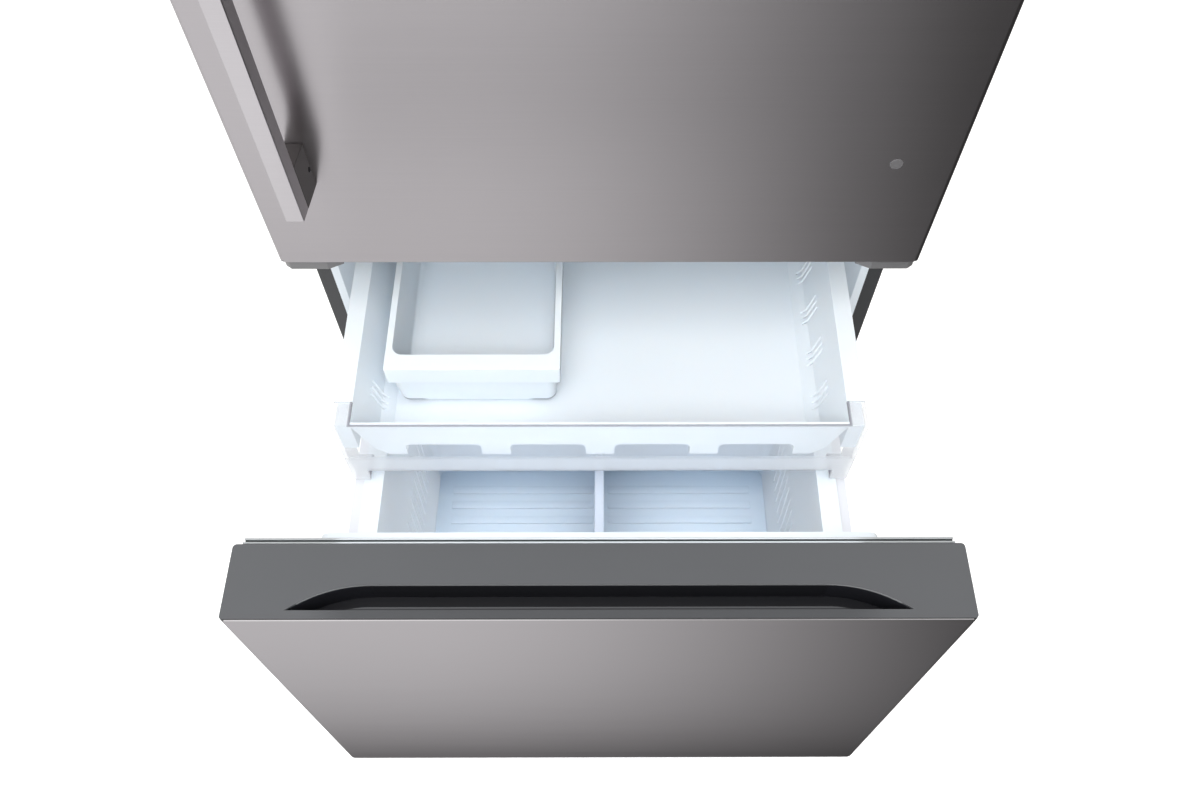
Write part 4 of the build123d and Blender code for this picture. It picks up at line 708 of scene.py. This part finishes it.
# ---- modelling bench
class Bench:
    """Modelling steps that the assemblies share."""

    FACETS = 2  # of each rounded edge
    SCREW_SIDES = 24
    LOOKS_UP = 0.9  # the least Z of the normal on a screw's top
    SOCKET_STEPS = ((0.18, 0.15), (0.3, 0.0), (0.02, -0.6))  # insets: of the radius, of the height

    @staticmethod
    def mode(name: str) -> None:
        """Switch to EDIT or OBJECT mode."""
        bpy.ops.object.mode_set(mode=name)

    @staticmethod
    def clear() -> None:
        """Leave edit mode and deselect everything."""
        if bpy.context.object and bpy.context.object.mode != "OBJECT":
            Bench.mode("OBJECT")
        bpy.ops.object.select_all(action="DESELECT")

    @staticmethod
    def settle(piece: Piece) -> None:
        """Put the piece's place, turn and size into its mesh.

        Args:
            piece: the object.
        """
        Bench.clear()
        piece.select_set(True)
        bpy.context.view_layer.objects.active = piece
        bpy.ops.object.transform_apply(location=True, rotation=True, scale=True)

    @staticmethod
    def block(name: str, low: Point, high: Point, radius: float) -> Piece:
        """A rectangular piece with rounded edges.

        Args:
            name: the piece's name.
            low: its lowest corner.
            high: its highest corner.
            radius: the radius of its edges.

        Returns:
            The new object.
        """
        Bench.clear()
        centre = [(a + b) / 2 for a, b in zip(low, high)]
        bpy.ops.mesh.primitive_cube_add(size=1.0, location=centre)
        piece = bpy.context.object
        piece.name = name
        piece.scale = [b - a for a, b in zip(low, high)]
        Bench.settle(piece)
        Bench.mode("EDIT")
        bpy.ops.mesh.select_all(action="SELECT")
        bpy.ops.mesh.bevel(offset=radius, segments=Bench.FACETS, affect="EDGES")
        Bench.mode("OBJECT")
        bpy.ops.object.shade_smooth_by_angle(angle=SMOOTH_ANGLE)
        return piece

    @staticmethod
    def screw(name: str, place: Point, direction: Vector, radius: float, height: float) -> Piece:
        """A round screw head with a socket.

        Args:
            name: the piece's name.
            place: the centre of the seat under the head.
            direction: the way that the head looks.
            radius: the head's radius.
            height: the head's height.

        Returns:
            The new object.
        """
        Bench.clear()
        bpy.ops.mesh.primitive_cylinder_add(
            vertices=Bench.SCREW_SIDES, radius=radius, depth=height, location=(0, 0, height / 2)
        )
        piece = bpy.context.object
        piece.name = name
        Bench.settle(piece)
        Bench.mode("EDIT")
        bpy.ops.mesh.select_all(action="DESELECT")
        Bench.mode("OBJECT")
        for polygon in piece.data.polygons:
            polygon.select = polygon.normal.z > Bench.LOOKS_UP
        Bench.mode("EDIT")
        bpy.ops.mesh.select_mode(type="FACE")
        for inward, rise in Bench.SOCKET_STEPS:
            bpy.ops.mesh.inset(thickness=radius * inward, depth=height * rise)
        Bench.mode("OBJECT")
        turn = direction.to_track_quat("Z", "Y").to_matrix().to_4x4()
        piece.data.transform(Matrix.Translation(place) @ turn)
        bpy.ops.object.shade_smooth_by_angle(angle=SMOOTH_ANGLE)
        return piece

    @staticmethod
    def ring(
        name: str, half: float, levels: Span, depths: Span, width: float, radius: float
    ) -> Piece:
        """A rectangular ring that stands facing Y, with softened edges.

        Args:
            name: the piece's name.
            half: half of its outer width.
            levels: its lowest and highest level.
            depths: where it begins and ends along Y.
            width: the width of its material.
            radius: the radius of its edges.

        Returns:
            The new object.
        """
        Bench.clear()
        centre = (0, depths[0], sum(levels) / 2)
        turn = (math.radians(90), 0, 0)
        bpy.ops.mesh.primitive_plane_add(size=1.0, location=centre, rotation=turn)
        piece = bpy.context.object
        piece.name = name
        piece.scale = (2 * half, levels[1] - levels[0], 1)
        Bench.settle(piece)
        Bench.mode("EDIT")
        bpy.ops.mesh.select_mode(type="FACE")
        bpy.ops.mesh.select_all(action="SELECT")
        bpy.ops.mesh.inset(thickness=width, depth=0)
        bpy.ops.mesh.delete(type="FACE")
        bpy.ops.mesh.select_all(action="SELECT")
        move = {"value": (0, depths[1] - depths[0], 0)}
        bpy.ops.mesh.extrude_region_move(TRANSFORM_OT_translate=move)
        bpy.ops.mesh.select_all(action="SELECT")
        bpy.ops.mesh.normals_make_consistent(inside=False)
        bpy.ops.mesh.bevel(offset=radius, segments=Bench.FACETS, affect="EDGES")
        Bench.mode("OBJECT")
        bpy.ops.object.shade_smooth_by_angle(angle=SMOOTH_ANGLE)
        return piece

    @staticmethod
    def join(name: str, pieces: Sequence[Piece]) -> Piece:
        """Join pieces into one object.

        Args:
            name: the joined object's name.
            pieces: the objects to join.

        Returns:
            The joined object.
        """
        Bench.clear()
        for piece in pieces:
            piece.select_set(True)
        bpy.context.view_layer.objects.active = pieces[0]
        bpy.ops.object.join()
        joined = bpy.context.object
        joined.name = name
        return joined

    @staticmethod
    def finish(piece: Piece, finish: Finish, body: Body, slot: str) -> None:
        """Give a new piece its material and its body.

        Args:
            piece: the object.
            finish: its finish.
            body: the body it rides on.
            slot: not used.
        """
        piece.data.materials.clear()
        piece.data.materials.append(finish.material())
        piece.visible_glossy = False
        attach(piece, body.value)
        log.info("piece %s on %s", piece.name, body.value)


@dataclass
class CadDress:
    """Materials and softened edges for the nodes that are carried over."""

    weld_distance: float = 0.00001
    least_angle: float = math.radians(35)  # a sharper edge than this is rounded

    def build(self) -> None:
        """Dress every node of the frame."""
        for finish, names in NODE_FINISH.items():
            for name in names:
                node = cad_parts[name]
                for index in range(max(1, len(node.material_slots))):
                    if index < len(node.material_slots):
                        node.material_slots[index].material = finish.material()
                    else:
                        node.data.materials.append(finish.material())
                node.visible_glossy = name not in NOT_MIRRORED
                if name in EDGE_RADIUS:
                    self.soften(node, EDGE_RADIUS[name])
                log.info("node %s as %s", name, finish.name)

    def soften(self, node: Piece, radius: float) -> None:
        """Round a node's sharp edges with live modifiers, its own mesh left as it is.

        Args:
            node: the node's object.
            radius: the radius of its edges.
        """
        weld = node.modifiers.new("weld", "WELD")
        weld.merge_threshold = self.weld_distance
        bevel = node.modifiers.new("soft_edges", "BEVEL")
        bevel.width = radius
        bevel.segments = Bench.FACETS
        bevel.limit_method = "ANGLE"
        bevel.angle_limit = self.least_angle
        bevel.use_clamp_overlap = True
        bevel.harden_normals = True


# ---- small hardware
@dataclass
class Screws:
    """A few equal screw heads that make one piece."""

    name: str
    body: Body
    radius: float
    height: float

    def seats(self) -> list[tuple[Point, Vector]]:
        """A place and a direction for each screw; each kind says it here."""
        raise NotImplementedError

    def build(self) -> None:
        """Make the screws and join them."""
        heads = [Bench.screw("head", *seat, self.radius, self.height) for seat in self.seats()]
        Bench.finish(Bench.join(self.name, heads), DARK_STEEL, self.body, "zinc_steel")


@dataclass
class HandleScrews(Screws):
    """The set screws of the door's handle, one in each post."""

    before_face: float = 0.008
    from_end: float = 0.032

    def seats(self) -> list[tuple[Point, Vector]]:
        """See base class."""
        low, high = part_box("handle_posts")
        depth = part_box("door_skin")[0][1] - self.before_face
        levels = (low[2] + self.from_end, high[2] - self.from_end)
        return [((high[0], depth, level), Vector((1, 0, 0))) for level in levels]


@dataclass
class TrayScrews(Screws):
    """The two screws low on the tray's side walls."""

    behind_front: float = 0.073
    below_rim: float = 0.088
    inward: float = 0.05  # from the tray's side
    slant: float = 0.6  # how far a head looks up, for 1 sideways

    def seats(self) -> list[tuple[Point, Vector]]:
        """See base class."""
        low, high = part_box("upper_tray")
        out = high[0] - self.inward
        depth, level = low[1] + self.behind_front, high[2] - self.below_rim
        return [((side * out, depth, level), Vector((-side, 0, self.slant))) for side in SIDES]


@dataclass
class BasketRibs:
    """Broad soft ribs over the narrow ones of the basket's floor."""

    rib_count: int = 10
    end_margin: float = 0.0445  # the floor's length without ribs, at each end
    rib_half: float = 0.0075
    rib_height: float = 0.0034
    sheet: float = 0.003
    far_end: float = 0.27
    near_end: float = 0.0135
    middle: float = -0.0015
    radius: float = 0.0013

    def build(self) -> None:
        """Lay one row of ribs on each side of the divider."""
        low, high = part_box("basket")
        floor = low[2] + self.sheet
        pitch = (high[1] - low[1] - 2 * self.end_margin) / self.rib_count
        first = (low[1] + high[1]) / 2 - pitch * (self.rib_count - 1) / 2
        ribs = []
        for index in range(self.rib_count):
            y = first + index * pitch
            for side in SIDES:
                near = self.middle + side * self.near_end
                ends = sorted((near, side * self.far_end))
                lowest = (ends[0], y - self.rib_half, floor)
                highest = (ends[1], y + self.rib_half, floor + self.rib_height)
                ribs.append(Bench.block("rib", lowest, highest, self.radius))
        piece = Bench.join("basket_floor_ribs", ribs)
        Bench.finish(piece, BASKET_WHITE, Body.DRAWER, "white_moulded")


@dataclass
class Seal:
    """The soft seal on the back of a door: two ridges, with painted shade in the grooves before each.
    """

    node: str
    body: Body
    rise: float = 0.0  # how far its upper run stands above the solid's
    first_gap: float = 0.0016  # next to the panel
    first_ridge: float = 0.0022
    first_wider: float = 0.0015  # how far the first ridge stands out at each side
    second_gap: float = 0.0025
    band: float = 0.023
    groove_drop: float = 0.001
    radius: float = 0.0005

    def build(self) -> None:
        """Make the two ridges, joined into one seal, and a ring of painted shade that shows in the
        grooves.
        """
        low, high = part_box(self.node)
        half, start, end = high[0], low[1], high[1]
        levels = (low[2], high[2] + self.rise)
        near = start + self.first_gap
        far = near + self.first_ridge + self.second_gap
        ridges = []
        for outer, depths in (
            (half + self.first_wider, (near, near + self.first_ridge)),
            (half, (far, end)),
        ):
            ridges.append(Bench.ring("ridge", outer, levels, depths, self.band, self.radius))
        seal = Bench.join(self.node + "_ridges", ridges)
        Bench.finish(seal, SEAL, self.body, "soft_seal")
        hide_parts(self.node)
        # The ring of painted shade, set just inside the ridges.
        drop = self.groove_drop
        inner = (levels[0] + drop, levels[1] - drop)
        depths = (start, end - self.radius)
        width = self.band - 2 * drop
        name = self.node + "_groove"
        groove = Bench.ring(name, half - drop, inner, depths, width, self.radius / 2)
        Bench.finish(groove, GROOVE_SHADE, self.body, "soft_seal")


# ---- studio
@dataclass(frozen=True)
class Lamp:
    """A rectangular area lamp that neither a mirror nor the camera shows."""

    name: str
    place: Point
    aim: Point
    size: Span
    power: float  # in watts
    colour: Colour = COOL
    spread: float = 180.0  # the angle that its light stays in, in degrees

    def build(self) -> None:
        """Hang the lamp."""
        data = bpy.data.lights.new(self.name, "AREA")
        data.spread = math.radians(self.spread)
        data.shape = "RECTANGLE"
        data.size, data.size_y = self.size
        data.energy = self.power
        data.color = self.colour
        lamp = bpy.data.objects.new(self.name, data)
        lamp.location = self.place
        towards = Vector(self.aim) - Vector(self.place)
        lamp.rotation_euler = towards.to_track_quat("-Z", "Y").to_euler()
        lamp.visible_glossy = False
        lamp.visible_camera = False
        bpy.context.scene.collection.objects.link(lamp)


SOFTBOXES = (
    Lamp("front_softbox", (-0.2, -1.4, 2.1), aim=(0.0, -0.45, 0.6), size=(1.2, 0.8), power=14.5),
    Lamp("overhead_softbox", (0.0, -0.9, 3.2), (0.0, -0.5, 0.6), (1.4, 1.4), 17.0, WHITE),
    Lamp("left_softbox", (-3.0, -0.9, 2.2), (0.0, -0.4, 0.6), (1.5, 1.5), 6.0, WHITE),
    Lamp("back_softbox", (0.0, 3.2, 2.0), (0.0, 0.6, 0.9), (0.8, 1.2), 26.0, WHITE),
)


@dataclass
class DrawerLamps:
    """Small lamps over the open drawer, placed by the box of its basket."""

    inner_above: float = 0.03  # the freezer's own lights, above the basket's rim
    inner_behind: float = 0.19  # behind the basket's front
    inner_shift: float = 0.008  # from the middle of each half towards the divider
    inner_margin: float = 0.12
    inner_length: float = 0.22
    inner_power: float = 0.17
    inner_spread: float = 62.0
    bounce_before: float = 0.02  # the light that the drawer's panel throws back at the tray
    bounce_above: float = 0.25
    bounce_aim: Span = (0.16, -0.14)
    bounce_size: Span = (0.6, 0.1)
    bounce_power: float = 0.22
    trim_behind: float = 0.03  # the same light, low before the clear trim
    trim_above: float = 0.08
    trim_aim: Span = (0.1, 0.0)
    trim_size: Span = (0.6, 0.06)
    trim_power: float = 0.18

    def build(self) -> None:
        """Hang two lamps in the basket and two before the tray."""
        low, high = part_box("basket")
        depth = low[1] + self.inner_behind
        size = (high[0] - self.inner_margin, self.inner_length)
        for side in SIDES:
            out = side * (high[0] / 2 - self.inner_shift)
            place = (out, depth, high[2] + self.inner_above)
            aim = (out, depth, 0.0)
            spread = self.inner_spread
            Lamp("freezer_light", place, aim, size, self.inner_power, spread=spread).build()
        bounce = (0.0, low[1] - self.bounce_before, high[2] + self.bounce_above)
        trim = (0.0, low[1] + self.trim_behind, high[2] + self.trim_above)
        for name, place, aim, size, power in (
            ("bounce_light", bounce, self.bounce_aim, self.bounce_size, self.bounce_power),
            ("trim_light", trim, self.trim_aim, self.trim_size, self.trim_power),
        ):
            target = (place[0], place[1] + aim[0], place[2] + aim[1])
            Lamp(name, place, target, size, power).build()


@dataclass
class Surround:
    """What surrounds the refrigerator: white to the camera, shaded where steel mirrors it."""

    glow: float = 0.6  # the floor's own light to the camera
    floor_half: float = 9.0
    floor_colour: Colour = (0.8, 0.8, 0.8)
    lamp_colour: Colour = (1.0, 0.98, 0.94)  # the world as a lamp
    bright: float = 0.94  # the brightest part in a reflection
    dark_share: float = 0.04  # its right-hand side, as a share of that
    back: float = 0.75  # behind the cabinet
    back_floor: Span = (0.7, 1.0)  # where the floor counts as behind the cabinet
    back_world: Span = (0.0, 0.2)  # the same for a direction's Y
    fade: Span = (-0.22, 0.56)  # sideways per metre forward, where it turns dark
    fade_eye: float = 0.27  # the depth that the metres forward are counted from
    fade_least: float = 1.75
    world_least: float = 0.05
    # Painted shadow, seen only in reflections: the floor darkens just in front of the drawer.
    near: Span = (0.36, 0.02)  # in front of the drawer, from the brightest to the darkest floor
    near_light: float = 1.32
    near_dark: float = 0.16
    far: Span = (-1.9, -0.95)
    far_share: float = 0.8
    under: Span = (0.005, 0.015)  # behind the drawer's front, where the floor is bright again

    def build(self) -> None:
        """Make the floor and the world."""
        self.floor()
        self.world()

    def reflection(self, nodes: NodeTree, side: Socket) -> Socket:
        """Brightness in a reflection; it falls with the metres to the right per metre forward."""
        return nodes.ramp(side, self.fade, self.bright, self.bright * self.dark_share)

    def seen(self, nodes: NodeTree, rays: Node) -> Socket:
        """1 for what the camera sees, also through clear walls, and 0 otherwise."""
        kinds = [rays.outputs[f"Is {kind} Ray"] for kind in ("Camera", "Transmission")]
        return nodes.maths("MINIMUM", nodes.maths("ADD", *kinds), 1.0)

    def floor(self) -> None:
        """A plain pale floor that shows white to the camera and keeps the shadow."""
        Bench.clear()
        bpy.ops.mesh.primitive_plane_add(size=2 * self.floor_half, location=(0, 0, 0))
        plane = bpy.context.object
        plane.name = "studio_floor"
        Bench.settle(plane)
        material = bpy.data.materials.new("studio_floor")
        material.use_nodes = True
        nodes = NodeTree(material.node_tree)
        tree = material.node_tree
        tree.nodes.remove(tree.nodes["Principled BSDF"])
        rays = nodes.add("ShaderNodeLightPath")
        glow = nodes.product(self.seen(nodes, rays), self.glow)
        diffuse = nodes.add("ShaderNodeBsdfDiffuse", {"Color": self.floor_colour}).outputs[0]
        glow = nodes.add("ShaderNodeEmission", {"Strength": glow}).outputs[0]
        direct = nodes.add("ShaderNodeAddShader", {0: diffuse, 1: glow}).outputs[0]
        side, depth, _ = nodes.split(nodes.place())
        ahead = nodes.maths("SUBTRACT", self.fade_eye, depth)
        ahead = nodes.maths("MAXIMUM", ahead, self.fade_least)
        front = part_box("drawer_skin")[0][1]
        before = (front - self.near[0], front - self.near[1])
        under = (front + self.under[0], front + self.under[1])
        # Painted shadow in reflections, darkest just in front of the drawer.
        near = nodes.ramp(depth, before, self.near_light, self.near_dark)
        near = nodes.product(near, nodes.ramp(depth, self.far, self.far_share, 1.0))
        near = nodes.maths("MAXIMUM", near, nodes.rise(depth, under))
        shown = nodes.product(self.reflection(nodes, nodes.maths("DIVIDE", side, ahead)), near)
        behind = nodes.rise(depth, self.back_floor, self.back)
        shown = nodes.maths("MAXIMUM", shown, behind)
        mirror = nodes.add("ShaderNodeEmission", {"Strength": shown}).outputs[0]
        inputs = {0: rays.outputs["Is Glossy Ray"], 1: direct, 2: mirror}
        both = nodes.add("ShaderNodeMixShader", inputs).outputs[0]
        nodes.feed(tree.nodes["Material Output"], {"Surface": both})
        plane.data.materials.append(material)

    def world(self) -> None:
        """A white surround: plain to the camera, fading to the right in reflections."""
        world = bpy.data.worlds.new("studio_world")
        bpy.context.scene.world = world
        world.use_nodes = True
        nodes = NodeTree(world.node_tree)
        background = world.node_tree.nodes["Background"]
        rays = nodes.add("ShaderNodeLightPath")
        mirrored = rays.outputs["Is Glossy Ray"]
        side, depth, _ = nodes.split(nodes.add("ShaderNodeTexCoord").outputs["Generated"])
        ahead = nodes.maths("MAXIMUM", nodes.maths("ABSOLUTE", depth), self.world_least)
        shown = self.reflection(nodes, nodes.maths("DIVIDE", side, ahead))
        shown = nodes.maths("MAXIMUM", shown, nodes.rise(depth, self.back_world, self.back))
        plain = nodes.maths("MINIMUM", nodes.maths("ADD", self.seen(nodes, rays), mirrored), 1.0)
        colour = nodes.blend(plain, self.lamp_colour, WHITE)
        direct = nodes.maths("SUBTRACT", 1.0, mirrored)
        strength = nodes.maths("ADD", direct, nodes.product(mirrored, shown))
        nodes.feed(background, {"Color": colour, "Strength": strength})


@dataclass
class PhotoCamera:
    """The camera, where the photograph was taken from."""

    eye_height: float = 1.77904
    eye_side: float = 0.005836
    eye_before_door: float = 0.85281  # in front of the closed door's face
    focal_pixels: float = 1013.5
    image_width: float = 1200.0
    image_height: float = 797.0
    centre_column: float = 607.9
    centre_row: float = 429.3
    sensor: float = 36.0
    tilt_down: float = 59.77
    turn: float = 0.40
    roll: float = 0.27
    sees: Span = (0.05, 60.0)

    def build(self) -> None:
        """Set up the camera."""
        data = bpy.data.cameras.new("camera")
        data.sensor_width = self.sensor
        data.lens = self.focal_pixels * self.sensor / self.image_width
        data.shift_x = (self.image_width / 2 - self.centre_column) / self.image_width
        data.shift_y = (self.centre_row - self.image_height / 2) / self.image_width
        data.clip_start, data.clip_end = self.sees
        camera = bpy.data.objects.new("camera", data)
        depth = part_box("door_skin")[0][1] - self.eye_before_door
        place = Matrix.Translation((self.eye_side, depth, self.eye_height))
        turn = Matrix.Rotation(math.radians(-self.turn), 4, "Z")
        tilt = Matrix.Rotation(math.radians(90 - self.tilt_down), 4, "X")
        roll = Matrix.Rotation(math.radians(self.roll), 4, "Z")
        camera.matrix_world = place @ turn @ tilt @ roll
        bpy.context.scene.collection.objects.link(camera)
        bpy.context.scene.camera = camera


def main() -> None:
    """Build the scene, one assembly after another."""
    for part_of_studio in (Surround(), *SOFTBOXES, DrawerLamps(), PhotoCamera()):
        part_of_studio.build()
    bpy.context.scene.view_settings.view_transform = "Standard"
    CadDress().build()
    seals = (Seal("door_gasket", Body.DOOR), Seal("drawer_gasket", Body.DRAWER, rise=0.0085))
    screws = (
        HandleScrews("handle_set_screws", Body.DOOR, radius=0.003, height=0.0012),
        TrayScrews("tray_screws", Body.TRAY, radius=0.0028, height=0.001),
    )
    for assembly in (*screws, BasketRibs(), *seals):
        assembly.build()


if __name__ == "__main__":
    main()
